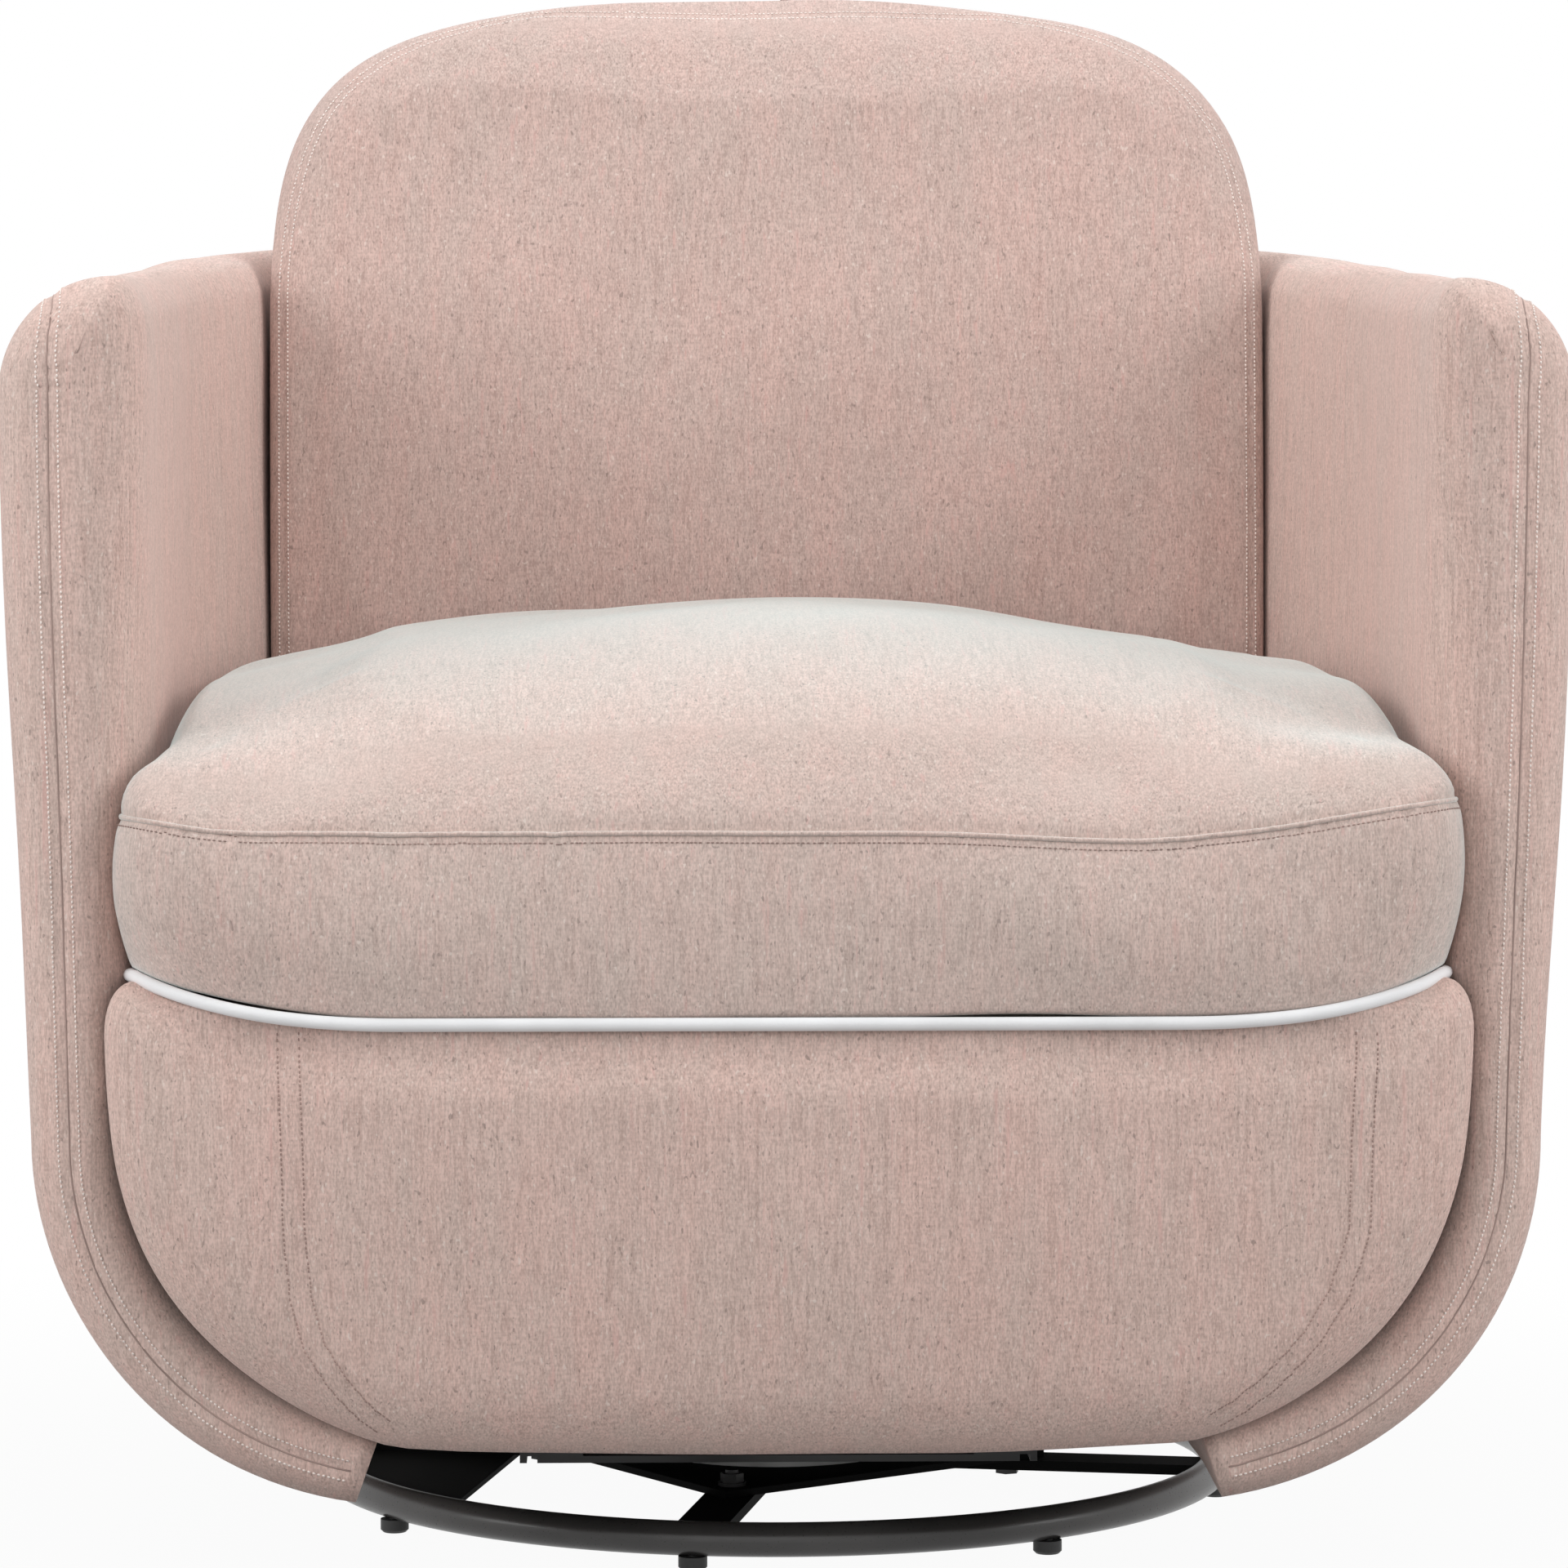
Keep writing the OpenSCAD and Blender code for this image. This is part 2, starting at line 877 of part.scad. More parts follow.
// Squareness of the barrel's plan at a height z
function barrel_n(z) = barrel_low_n
    + (barrel_top_n - barrel_low_n) * clamp01((z - thick_z) / (shoulder_z - thick_z));

// Half width of the shell's inner face at a depth y, at the height of the wood frame
function inner_x(y) = let (
    a = shell_a - lean - wall_low_t,
    b = shell_b - lean - wall_low_t,
    v = clamp01((y - bend_y) / b)
) a * pow(1 - pow(v, barrel_low_n), 1 / barrel_low_n);

// Half width between the arms at a depth y and a height z
function arm_inner_x(y, z) = let (
    n = barrel_n(z),
    a = shell_a - arm_t,
    b = shell_b - back_t - facet_gap,
    v = clamp01((y - bend_y) / b)
) a * pow(1 - pow(v, n), 1 / n);

// Outer line of the shell's section: offset from the arm's outside at side and back, and height
outer_line = concat(
    [for (k = [0 : roll_steps])
        let (q0 = asin((lobe_x - (shell_a - lean - roll_in)) / roll_in), q = q0 + (90 - q0) * k / roll_steps,
            o = -roll_in * (1 - sin(q)))
        [o - lean, back_roll * o - lean, roll_z - roll_h * cos(q)]],
    [
        [-lean * 0.5, -lean * 0.5, (roll_z + cap_z) / 2],
        [-lean * 0.25, -lean * 0.25, (thick_z + cap_z) / 2],
        [0, 0, cap_z - 30]
    ],
    [for (q = [15, 40, 62, 82])
        [-cap_out * (1 - cos(q)), -cap_out * (1 - cos(q)), cap_z + cap_h * sin(q)]]
);

// Inner line of the section, paired point by point with the outer line
inner_line = concat(
    [for (k = [0 : roll_steps])
        let (q0 = asin((lobe_x - (shell_a - lean - roll_in)) / roll_in), q = q0 + (90 - q0) * k / roll_steps,
            o = -roll_in * (1 - sin(q)), w = -lean - wall_low_t * sin(q))
        [o + w, back_roll * o + w, roll_z - (roll_h - roll_wall_t) * cos(q)]],
    [
        [-arm_t, -back_t, thick_z],
        [-arm_t, -back_t, (thick_z + cap_z) / 2],
        [-arm_t, -back_t, cap_z - 30]
    ],
    [for (q = [15, 40, 62, 82])
        [
            -cap_out - cap_in * cos(q),
            -cap_out - (back_t - cap_out) * cos(q),
            cap_z + cap_h - cap_in_h + cap_in_h * sin(q)
        ]]
);

section_n = len(outer_line);

// Offset of the roll's inner face at a height z, share being how far that side rolls in
function roll_inner(z, share) = let (q = acos((roll_z - z) / (roll_h - roll_wall_t)))
    -share * roll_in * (1 - sin(q)) - lean - wall_low_t * sin(q);

// Stations along the barrel: nose points, then the straight side, then half of the back
nose_us = [0.01, 0.07, 0.2, 0.42, 0.7, 1];
side_ys = concat(
    [for (u = nose_us) -nose_y + nose_r * u],
    [for (k = [1 : side_steps - 1]) let (y0 = -nose_y + nose_r) y0 + (bend_y - y0) * k / side_steps]
);
half_stations = len(side_ys);

// Plan point of a station k at a height z, with the shell drawn in by oa at its sides and ob at its back
function station(k, oa, ob, z) = let (
    e = 2 / barrel_n(z),
    total = 2 * half_stations + back_steps + 1,
    right = k >= half_stations + back_steps + 1,
    m = right ? total - 1 - k : k,
    phi = 180 * (k - half_stations) / back_steps
) m < half_stations
    ? [(right ? 1 : -1) * (shell_a + oa), side_ys[m]]
    : [
        -(shell_a + oa) * spow(cos(phi), e),
        bend_y + (shell_b + ob) * spow(sin(phi), e)
    ];

function nose_scale(k) = let (
    total = 2 * half_stations + back_steps + 1,
    m = min(k, total - 1 - k),
    u = m < len(nose_us) ? nose_us[m] : 1
) sqrt(1 - pow(1 - u, 2));

// Rise of the arm top towards the back, and its drop round the front corner
function rise(y) = (arm_back - arm_front) * clamp01((y + nose_y) / (inside_y + 50 + nose_y));
function corner_drop(k) = corner_r * (1 - nose_scale(k));

// One point of the shell: p on a line of the section and q its partner on the other line
function shell_point(k, p, q) = let (
    s = nose_scale(k),
    oa = (p[0] + q[0]) / 2 + s * (p[0] - q[0]) / 2,
    ob = (p[1] + q[1]) / 2 + s * (p[1] - q[1]) / 2,
    z = (p[2] + q[2]) / 2 + s * (p[2] - q[2]) / 2,
    up = clamp01((z - roll_z) / (arm_front - roll_z)),
    lifted = z + rise(station(k, oa, ob, z)[1]) * up,
    xy = station(k, oa, ob, lifted)
) [xy[0], xy[1], lifted - corner_drop(k) * pow(up, 3)];

module shell() {
    rows = 2 * half_stations + back_steps + 1;
    n = 2 * section_n;
    rings = [
        for (k = [0 : rows - 1])
            concat(
                [for (j = [0 : section_n - 1]) shell_point(k, outer_line[j], inner_line[j])],
                [for (j = [section_n - 1 : -1 : 0]) shell_point(k, inner_line[j], outer_line[j])]
            )
    ];
    color("#c6aca2")
        polyhedron(
            points = flat(rings),
            faces = concat(wall_faces(rows, n), strip_faces(0, n, true), strip_faces((rows - 1) * n, n, false))
        );
}

/* ---- Front panel, seat and back ---- */

// Outline of the front panel, in the X-Z plane: wide above, rounded in below
function belly_ring(y, half_w, low, top) = [
    for (k = [0 : belly_steps])
        let (q = 180 * k / belly_steps, core = half_w * 0.42, c = cos(q), s = sin(q))
            [
                (c < 0 ? -1 : 1) * (core * min(1, abs(c) * 4) + (half_w - core) * pow(abs(c), 2 / belly_n)),
                y,
                belly_mid - (belly_mid - low) * pow(s, 2 / belly_n)
            ],
    for (t = [-1 : 0.4 : 1])
        [t * (half_w - 18), y, top]
];

module front_panel() {
    y0 = -seat_front;
    top = piping_z - piping_r - soft_gap;
    inner_w = inner_x(bend_y) - 2;
    color("#c2a89e")
        loft([
            for (b = belly_levels)
                belly_ring(
                    y0 + b[0] * belly_deep,
                    belly_x - b[1] * belly_round,
                    belly_z + b[2] * belly_round,
                    top - b[3] * belly_round
                ),
            belly_ring(-nose_y - 7, belly_x - 4, belly_z, top),
            belly_ring(-nose_y - 3, inner_w - 1, belly_z + 40, top),
            belly_ring(-board_y - soft_gap, inner_w - 1, belly_z + 40, top)
        ]);
}

// Plan outline of the seat at a share f of its full size, n being its squareness
function seat_ring(z, f, n) = let (
    front = -seat_front,
    rear = inside_front(z) - 2 * soft_gap,
    mid = (front + rear) / 2,
    half = (rear - front) / 2
) [
    for (k = [0 : seat_steps - 1])
        let (
            q = 360 * k / seat_steps,
            y = mid + half * f * spow(sin(q), 2 / n),
            w = arm_inner_x(y, z) - 2 * soft_gap + seat_ear * clamp01((-nose_y - 6 - y) / 10)
        )
            [w * f * spow(cos(q), 2 / n), y, z]
];

module seat_cushion() {
    low = piping_z + piping_r + soft_gap;
    h = seam_z - low;
    dome = crown_z - seam_z;
    color("#d6c2b9")
        loft([
            seat_ring(low, 0.985, seat_n),
            seat_ring(low + 0.3 * h, 0.998, seat_n),
            seat_ring(low + 0.7 * h, 1, seat_n),
            seat_ring(seam_z, 0.995, seat_n),
            seat_ring(seam_z + 0.25 * dome, 0.985, 0.8 * seat_n),
            seat_ring(seam_z + 0.5 * dome, 0.955, 0.6 * seat_n),
            seat_ring(seam_z + 0.7 * dome, 0.885, dome_n),
            seat_ring(seam_z + 0.86 * dome, 0.74, dome_n),
            seat_ring(seam_z + 0.96 * dome, 0.5, 3),
            seat_ring(crown_z, 0.2, 3)
        ]);
}

// Round cord along a list of points in one level
module level_cord(route, r) {
    sides = 8;
    last = len(route) - 1;
    rings = [
        for (i = [0 : last])
            let (
                t = route[min(i + 1, last)] - route[max(i - 1, 0)],
                side = [t[1], -t[0], 0] / norm(t)
            )
                [for (k = [0 : sides - 1]) route[i] + r * (cos(45 * k) * side + sin(45 * k) * [0, 0, 1])]
    ];
    loft(rings);
}

// White cord in the joint between the front panel and the seat
module piping() {
    ring = seat_ring(piping_z, 0.978, seat_n);
    route = [for (p = ring) if (p[1] < -nose_y - 6) p];
    color("white")
        level_cord(route, piping_r);
}

// Front face of the inside back at a height z
function inside_front(z) = inside_y + (z - lean_z) * tan(recline);

// Front face of the back board at a height z
function board_front(z) = back_y - rail_t + board_seat + (z - rail_top) * tan(recline);

// Rear face of the back board at a height z
function board_rear(z) = board_front(z) + back_ply / cos(recline);

// Share of its full width that the tall back has at a height z
function tomb_share(z) = let (v = clamp01((z - shoulder_z) / (inside_top - shoulder_z)))
    pow(1 - pow(v, shoulder_n), 1 / shoulder_n);

// Half width of the tall back at a height z and a depth y, narrowing as the barrel does
function tomb_x(z, y) = max(0.28, tomb_share(z)) * min(inside_x, arm_inner_x(y, z) - facet_gap);

// Plan outline of the inside back at a height z, drawn in by e at its front
function inside_ring(z, e) = let (
    y0 = inside_front(z) + e,
    y1 = board_front(z) - soft_gap,
    r = min(30, (y1 - y0) * 0.4),
    w = tomb_x(z, y0 + r) - max(0, e) * 0.5,
    rr = min(r, w * 0.4)
) concat(
    [for (q = [202.5 : 22.5 : 270]) [-w + rr + rr * cos(q), y0 + r + r * sin(q), z]],
    [for (t = [-0.5, 0, 0.5]) [t * w, y0, z]],
    [for (q = [270 : 22.5 : 360]) [w - rr + rr * cos(q), y0 + r + r * sin(q), z]],
    [for (t = [0.5, 1]) let (y = y0 + r + (y1 - y0 - r) * t) [min(w, tomb_x(z, y)), y, z]],
    [[0, y1, z]],
    [for (t = [1, 0.5]) let (y = y0 + r + (y1 - y0 - r) * t) [-min(w, tomb_x(z, y)), y, z]],
    [[-w, y0 + r, z]]
);

module back_cushion() {
    color("#c9afa6")
        loft([
            for (s = back_levels)
                inside_ring(inside_low + (inside_top - inside_low) * s[0], s[1])
        ]);
}

// Plywood board behind the inside back, standing on the back rail
module back_board() {
    rows = 24;
    heights = [for (k = [0 : rows]) rail_top + (board_top - rail_top) * sin(90 * k / rows)];
    halves = [for (z = heights) tomb_x(z + board_inset, board_rear(z)) - board_inset];
    right = [for (k = [0 : rows]) [halves[k], (heights[k] - rail_top) / cos(recline)]];
    left = [for (k = [rows : -1 : 0]) [-halves[k], (heights[k] - rail_top) / cos(recline)]];
    color("tan")
        translate([0, board_front(rail_top), rail_top])
            rotate([90 - recline, 0, 0])
                translate([0, back_ply * tan(recline), -back_ply])
                    linear_extrude(height = back_ply)
                        polygon(concat(right, left));
}

// Plan outline of the padded outside back at a height z, drawn in by e at its rear
function outside_ring(z, e) = let (
    y0 = board_rear(z) + soft_gap,
    y1 = bend_y + shell_b - back_t - facet_gap - soft_gap - e
) concat(
    [for (t = [0.25, 0.5, 0.7, 0.85, 1]) let (y = y0 + (y1 - y0) * t) [tomb_x(z, y + e), y, z]],
    [for (t = [1, 0.85, 0.7, 0.5, 0.25]) let (y = y0 + (y1 - y0) * t) [-tomb_x(z, y + e), y, z]],
    [for (t = [-1 : 0.5 : 1]) [t * tomb_x(z, y0), y0, z]]
);

module outside_back() {
    color("#c9afa6")
        loft([
            for (s = outside_levels)
                outside_ring(outside_low + (inside_top - 3 - outside_low) * s[0], s[1])
        ]);
}

// Plan outline of the room inside the shell, drawn in from the shell's outside by da and db
function room(da, db, front) = concat(
    [[-(shell_a - da), front]],
    [for (k = [0 : back_steps])
        let (phi = 180 * k / back_steps)
            [
                -(shell_a - da) * spow(cos(phi), 2 / barrel_low_n),
                bend_y + (shell_b - db) * spow(sin(phi), 2 / barrel_low_n)
            ]],
    [[shell_a - da, front]]
);

// Felt and foam pad over the springs
module seat_deck() {
    color("whitesmoke")
        translate([0, 0, deck_low])
            linear_extrude(height = deck_top - deck_low)
                intersection() {
                    polygon(room(arm_t + 2, back_t + facet_gap, -board_y));
                    translate([-shell_a, -board_y])
                        square([2 * shell_a, board_y + board_front(rail_top) - 1]);
                }
}

// Thin black cloth under the frame, open round the mechanism
module dust_cover() {
    color("#151515")
        translate([0, 0, board_low - cover_t - 0.1])
            linear_extrude(height = cover_t)
                difference() {
                    polygon(room(
                        cover_gap - roll_inner(board_low, 1),
                        cover_gap - roll_inner(board_low, back_roll),
                        -board_y
                    ));
                    translate([-cover_hole_x, -cover_hole_y])
                        square([2 * cover_hole_x, 2 * cover_hole_y]);
                }
}

base_ring();
cross_bars();
segment_plate();
base_plate();
plate_bolts();
plate_nuts();
floor_glides();
lower_race();
race_balls();
king_pin();
swivel_plate();
upper_race();
king_nut();
side_plate_left();
side_plate_right();
cross_tubes();
tube_bolts();
upper_pins();
front_hangers();
front_bushes();
rear_hangers();
rear_bushes();
glide_rail_left();
glide_rail_right();
front_lower_pins();
rear_lower_pins();
front_cross_rail();
rear_cross_rail();
rail_screws();
side_rail_left();
side_rail_right();
front_board();
back_rail();
corner_blocks();
shell_blocks();
seat_springs();
spring_clips();
seat_deck();
dust_cover();
back_board();
shell();
front_panel();
seat_cushion();
piping();
back_cushion();
outside_back();
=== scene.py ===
import math
import bpy
import bmesh
import numpy as np
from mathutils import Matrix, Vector
from mathutils.bvhtree import BVHTree


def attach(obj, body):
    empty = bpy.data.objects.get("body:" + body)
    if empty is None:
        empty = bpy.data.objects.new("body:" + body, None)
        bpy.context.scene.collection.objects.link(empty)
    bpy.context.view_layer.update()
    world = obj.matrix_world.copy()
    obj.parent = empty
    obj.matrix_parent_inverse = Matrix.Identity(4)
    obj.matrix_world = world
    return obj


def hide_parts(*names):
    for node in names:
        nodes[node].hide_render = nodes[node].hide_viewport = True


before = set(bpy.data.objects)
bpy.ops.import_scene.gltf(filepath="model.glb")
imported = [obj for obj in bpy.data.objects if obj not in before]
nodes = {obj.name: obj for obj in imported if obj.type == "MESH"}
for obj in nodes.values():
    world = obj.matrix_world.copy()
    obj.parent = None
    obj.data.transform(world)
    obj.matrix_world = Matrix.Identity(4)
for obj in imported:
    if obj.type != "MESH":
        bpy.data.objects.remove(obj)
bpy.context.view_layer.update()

# ---- Sizes of the soft forms, in metres: x to the right, y to the rear, z up ----

# Barrel in plan: half width, rear, arm fronts, and the line behind which the arms bend into the back
SHELL_A = 0.414
SHELL_BACK = 0.425
NOSE_Y = 0.385
BEND_Y = -0.180
SHELL_B = SHELL_BACK - BEND_Y
LOW_N, TOP_N = 3.2, 4.0  # how square the bend is, low down and at the shoulder
SHOULDER_Z = 0.725

# Barrel wall: thickness at arms and back, low down and at the rolled lip
ARM_T = 0.077
BACK_T = 0.104
WALL_LOW_T = 0.060
ROLL_WALL_T = 0.052
THICK_Z = 0.440  # full thickness from here up

# Barrel section: the roll under the body, the leaning wall with its swell, and the rounded crest
ROLL_Z = 0.250
SHELL_LOW = 0.059
ROLL_IN = 0.216
ROLL_H = ROLL_Z - SHELL_LOW + 0.005
ROLL_FULL = 0.90  # under 1 is fuller than a circle
BACK_ROLL = 0.45  # the rear rolls in by this share of the sides
LOBE_X = 0.230  # half the gap between the two rolled lips
LEAN = 0.015
SIDE_SWELL = 0.0022
ARM_FRONT = 0.702
CAP_OUT = 0.060
CAP_IN = ARM_T - CAP_OUT
CAP_H = 0.062
CAP_IN_H = 0.036
CAP_Z = ARM_FRONT - CAP_H
ROLL_T, CAP_T = 0.36, 0.80  # where along the section, 0 to 1, the wall and the crest begin
RISE = 0.0430  # the crest climbs by this much from the arm fronts to RISE_END
RISE_END = 0.260
RISE_POWER = 1.3

# Arm fronts: a tight round outside, a longer one inside, and the ridge in which both close
NOSE_R = 0.034
NOSE_IN = 0.064
NOSE_POWER = 2.3
NOSE_IN_POWER = 2.1
SPINE_TOP = 0.022
SPINE_IN = 0.0065
CREST_BLEND, CREST_OUTER = 0.50, 0.96  # between these the inside takes over the outside's round
BEND_S = 0.5  # the station, 1 at an arm's front to 0 at the rear, where the bend starts

# How far the arm's padding swells in where it closes on the tall back's edge, the start and length in y of
# the steps in which it comes and goes, and where on the section it fades
TUCK = 0.0115
TUCK_IN = (-0.12, 0.20)
TUCK_OUT = (0.105, 0.06)
TUCK_LOW_T, TUCK_TOP_T = 0.30, 0.92

# Seams: how far open the front is at the rim seam, and where on the crest the seam runs behind it
RIM_SHARE = 0.25
TOP_SEAM_T = 0.93
SIDE_SEAM_S = 0.30

# Tall back
INSIDE_X = 0.311
INSIDE_Y = 0.095
INSIDE_Z = 0.450  # the height at which its front is at INSIDE_Y
INSIDE_LOW = 0.320
BACK_TOP = 0.8978
SHOULDER_N = 3.15
RECLINE = math.radians(8)
BACK_GAP = 0.0016  # to the arm beside it
BACK_SEAM_IN = 0.011
BACK_SEAM_Z = 0.8868
BACK_RAIL_Y, RAIL_T, RAIL_TOP = 0.194, 0.022, 0.298  # the back board stands on this rail, BOARD_SEAT deep
BOARD_SEAT = 0.008
BACK_FREE_Z = (0.46, 0.86)  # the filling moves the front between these
OUTSIDE_LOW = 0.560
OUTSIDE_GAP = 0.0028

# Seat cushion and piping
FRONT_Y = -0.4185
PIPING_Z = 0.316
PIPING_R = 0.0036
PIPING_GRIP = PIPING_R * 0.55  # the covers close on the cord this far above and below its centre
PIPING_HALF, PIPING_RX, PIPING_RY = 0.3465, 0.085, 0.056
SEAM_Z = 0.4155
SEAM_RX, SEAM_RY = 0.050, 0.044
SEAT_HALF = (0.3455, 0.3540, 0.3505)  # half width at the piping, half-way up and at the top seam
SEAT_MID_Y = -0.160
CROWN = 0.106  # height over the top seam
CROWN_DEPTH = 0.30  # over which it rises from the front seam
CROWN_EDGE, CROWN_REST_EDGE = 0.026, 0.022  # its rounded edge at the front corners, and at sides and rear
EDGE_POWER = 2.3
SEAT_FREE_X, SEAT_FREE_Y = 0.25, 0.060  # the filling moves the top inside these
SEAT_GAP = 0.0025  # to the arm beside it
NOSE_GAP = 0.0037  # and round the arm's nose
SEAT_REAR_R = 0.012
WELT_R = 0.0013

# Front panel: its lowest height, half width, where its lower outline starts to round, and how squarely
BELLY_Z = 0.086
BELLY_X = 0.3576
BELLY_MID = 0.290
BELLY_N = 2.15
BELLY_Y, BELLY_BULGE = -0.4045, 0.0210  # its face at the sides, and how far the middle bulges over it
PANEL_TOP = PIPING_Z - PIPING_GRIP
PANEL_TOP_X = 0.3415
PANEL_CENTRE_Z = 0.235
PANEL_EDGE, PANEL_POWER = 0.040, 1.95  # width and form of its rounded edge

# Points of the seat's outlines along half the front and round a front corner
FRONT_POINTS, CORNER_POINTS = 30, 16


def clamp01(v):
    return min(1.0, max(0.0, v))


def signed_power(v, e):
    return math.copysign(abs(v) ** e, v)


def smooth(v):
    v = clamp01(v)
    return v * v * (3 - 2 * v)


def ease(v, start, length):
    """A soft step from 0 at start to 1 a length further on."""
    return smooth((v - start) / length)


def dome(v, power):
    """Rises steeply from 0 at v = 0 and levels at 1 from v = 1 on."""
    return (1 - (1 - clamp01(v)) ** power) ** (1 / power)


# ---- Mesh helpers ----

def new_mesh(name, verts, faces):
    me = bpy.data.meshes.new(name)
    me.from_pydata([tuple(v) for v in verts], [], faces)
    me.polygons.foreach_set("use_smooth", [True] * len(me.polygons))
    me.update()
    ob = bpy.data.objects.new(name, me)
    bpy.context.scene.collection.objects.link(ob)
    return ob


def ring_faces(rows, cols):
    """Quads between closed rings of points that follow each other."""
    faces = []
    for i in range(rows - 1):
        for j in range(cols):
            a = i * cols + j
            b = i * cols + (j + 1) % cols
            faces.append((a, b, b + cols, a + cols))
    return faces


def fix_normals(ob):
    bm = bmesh.new()
    bm.from_mesh(ob.data)
    bmesh.ops.remove_doubles(bm, verts=bm.verts, dist=1e-6)
    bmesh.ops.dissolve_degenerate(bm, edges=bm.edges, dist=1e-7)
    bmesh.ops.recalc_face_normals(bm, faces=bm.faces)
    bm.to_mesh(ob.data)
    bm.free()


def loft_closed(name, rings):
    """Skin over closed rings of points. Strips of quads fill the first and the last ring."""
    n = len(rings[0])
    ob = new_mesh(name, [p for r in rings for p in r], ring_faces(len(rings), n))
    bm = bmesh.new()
    bm.from_mesh(ob.data)
    bm.verts.ensure_lookup_table()
    for base in (0, (len(rings) - 1) * n):
        for k in range(n // 2 - 1):
            bm.faces.new([bm.verts[base + i] for i in (k, k + 1, n - 2 - k, n - 1 - k)])
    bm.to_mesh(ob.data)
    bm.free()
    fix_normals(ob)
    return ob


def coords(ob):
    out = np.empty(len(ob.data.vertices) * 3, np.float32)
    ob.data.vertices.foreach_get("co", out)
    return out.reshape(-1, 3)


def set_coords(ob, co):
    ob.data.vertices.foreach_set("co", np.asarray(co, np.float32).ravel())
    ob.data.update()


def normals(ob):
    out = np.empty(len(ob.data.vertices) * 3, np.float32)
    ob.data.vertex_normals.foreach_get("vector", out)
    return out.reshape(-1, 3)


def surface(ob):
    return BVHTree.FromObject(ob, bpy.context.evaluated_depsgraph_get())


def subdivide(ob):
    mod = ob.modifiers.new("smooth", "SUBSURF")
    mod.levels = mod.render_levels = 1
    dg = bpy.context.evaluated_depsgraph_get()
    me = bpy.data.meshes.new_from_object(ob.evaluated_get(dg), depsgraph=dg)
    ob.modifiers.clear()
    ob.data = me
    me.name = ob.name


def resample(path, step):
    """Points along a line at an even spacing, with the distance from its start."""
    p = np.array([tuple(v) for v in path], float)
    arc = np.concatenate([[0], np.cumsum(np.linalg.norm(np.diff(p, axis=0), axis=1))])
    s = np.linspace(0, arc[-1], max(2, int(arc[-1] / step) + 1))
    return np.stack([np.interp(s, arc, p[:, k]) for k in range(3)], 1), s


def nearest(co, pts, limit):
    """For each vertex within limit of a line of points: its index, the nearest point's index and distance.
    Every twelfth point first sorts out what is far away."""
    rough = np.min(np.linalg.norm(co[:, None] - pts[None, ::12], axis=2), axis=1)
    near = np.flatnonzero(rough < limit + 0.026)
    index, gap = np.empty(len(near), int), np.empty(len(near))
    block = 2000
    for a in range(0, len(near), block):
        d = np.linalg.norm(co[near[a:a + block], None] - pts[None], axis=2)
        index[a:a + block] = d.argmin(1)
        gap[a:a + block] = d.min(1)
    keep = gap < limit
    return near[keep], index[keep], gap[keep]


def waves(p, size, seed, count=9):
    """Smooth pseudo-random field, about -1 to 1: a sum of sine waves with fixed directions."""
    rng = np.random.default_rng(seed)
    out = np.zeros(len(p))
    for _ in range(count):
        k = rng.normal(size=p.shape[1])
        k *= rng.uniform(0.6, 1.5) * 2 * math.pi / size / np.linalg.norm(k)
        out += np.sin(p @ k + rng.uniform(0, 2 * math.pi))
    return out / math.sqrt(count)


def sew(ob, paths, depth, width, pucker, wave, reach=0.012):
    """Presses a shallow valley into the cloth along each seam, with small puckers that fade beside it."""
    co, nor = coords(ob).astype(float), normals(ob)
    for path in paths:
        pts, arc = resample(path, 0.002)
        hit, k, d = nearest(co, pts, reach * 3)
        along = arc[k][:, None]
        phase = along[:, 0] / wave + 0.8 * waves(along, 0.09, 5)
        size = 0.6 + 0.5 * waves(along, 0.06, 8)
        push = depth * np.exp(-(d / width) ** 2)
        push += pucker * size * np.sin(2 * math.pi * phase) * np.exp(-d / reach)
        co[hit] -= nor[hit] * push[:, None]
    set_coords(ob, co)


def unevenness(ob, amount, size, seed, free=None):
    """Slow hand-made waviness of a stuffed surface, where free leaves it room."""
    co, nor = coords(ob).astype(float), normals(ob)
    w = 1.0 if free is None else free(co)
    set_coords(ob, co + nor * (amount * w * waves(co, size, seed))[:, None])


def away_from_sides(half):
    """Fades waviness out over the last 30 mm before a cushion's sides."""
    return lambda co: np.clip((half - abs(co[:, 0])) / 0.03, 0, 1)


def stitch_line(name, ob, paths, rows=(-0.0056, 0.0056), r=0.00055, pitch=0.0026, length=0.0018, lift=0.0002):
    """Rows of short threads with pointed ends beside each seam line, laid on the cloth."""
    bvh = surface(ob)
    verts, faces = [], []
    sides = 5
    shank = 0.28  # half its even part, in parts of its length
    for path in paths:
        pts, _ = resample(path, pitch)
        for i in range(1, len(pts) - 1):
            base, n, _, _ = bvh.find_nearest(Vector(pts[i]))
            along = (Vector(pts[i + 1]) - Vector(pts[i - 1])).normalized()
            across = n.cross(along).normalized()
            for row in rows:
                p, m, _, _ = bvh.find_nearest(base + across * row)
                p = p + m * lift
                first = len(verts)
                verts.append(p - along * length / 2)
                for e in (-shank, shank):
                    for k in range(sides):
                        a = 2 * math.pi * k / sides
                        verts.append(p + along * length * e + r * (math.cos(a) * m + math.sin(a) * across))
                verts.append(p + along * length / 2)
                last = first + 1 + 2 * sides
                for k in range(sides):
                    a0, a1 = first + 1 + k, first + 1 + (k + 1) % sides
                    b0, b1 = a0 + sides, a1 + sides
                    faces += [(first, a1, a0), (a0, a1, b1, b0), (b0, b1, last)]
    out = new_mesh(name, verts, faces)
    fix_normals(out)
    return out


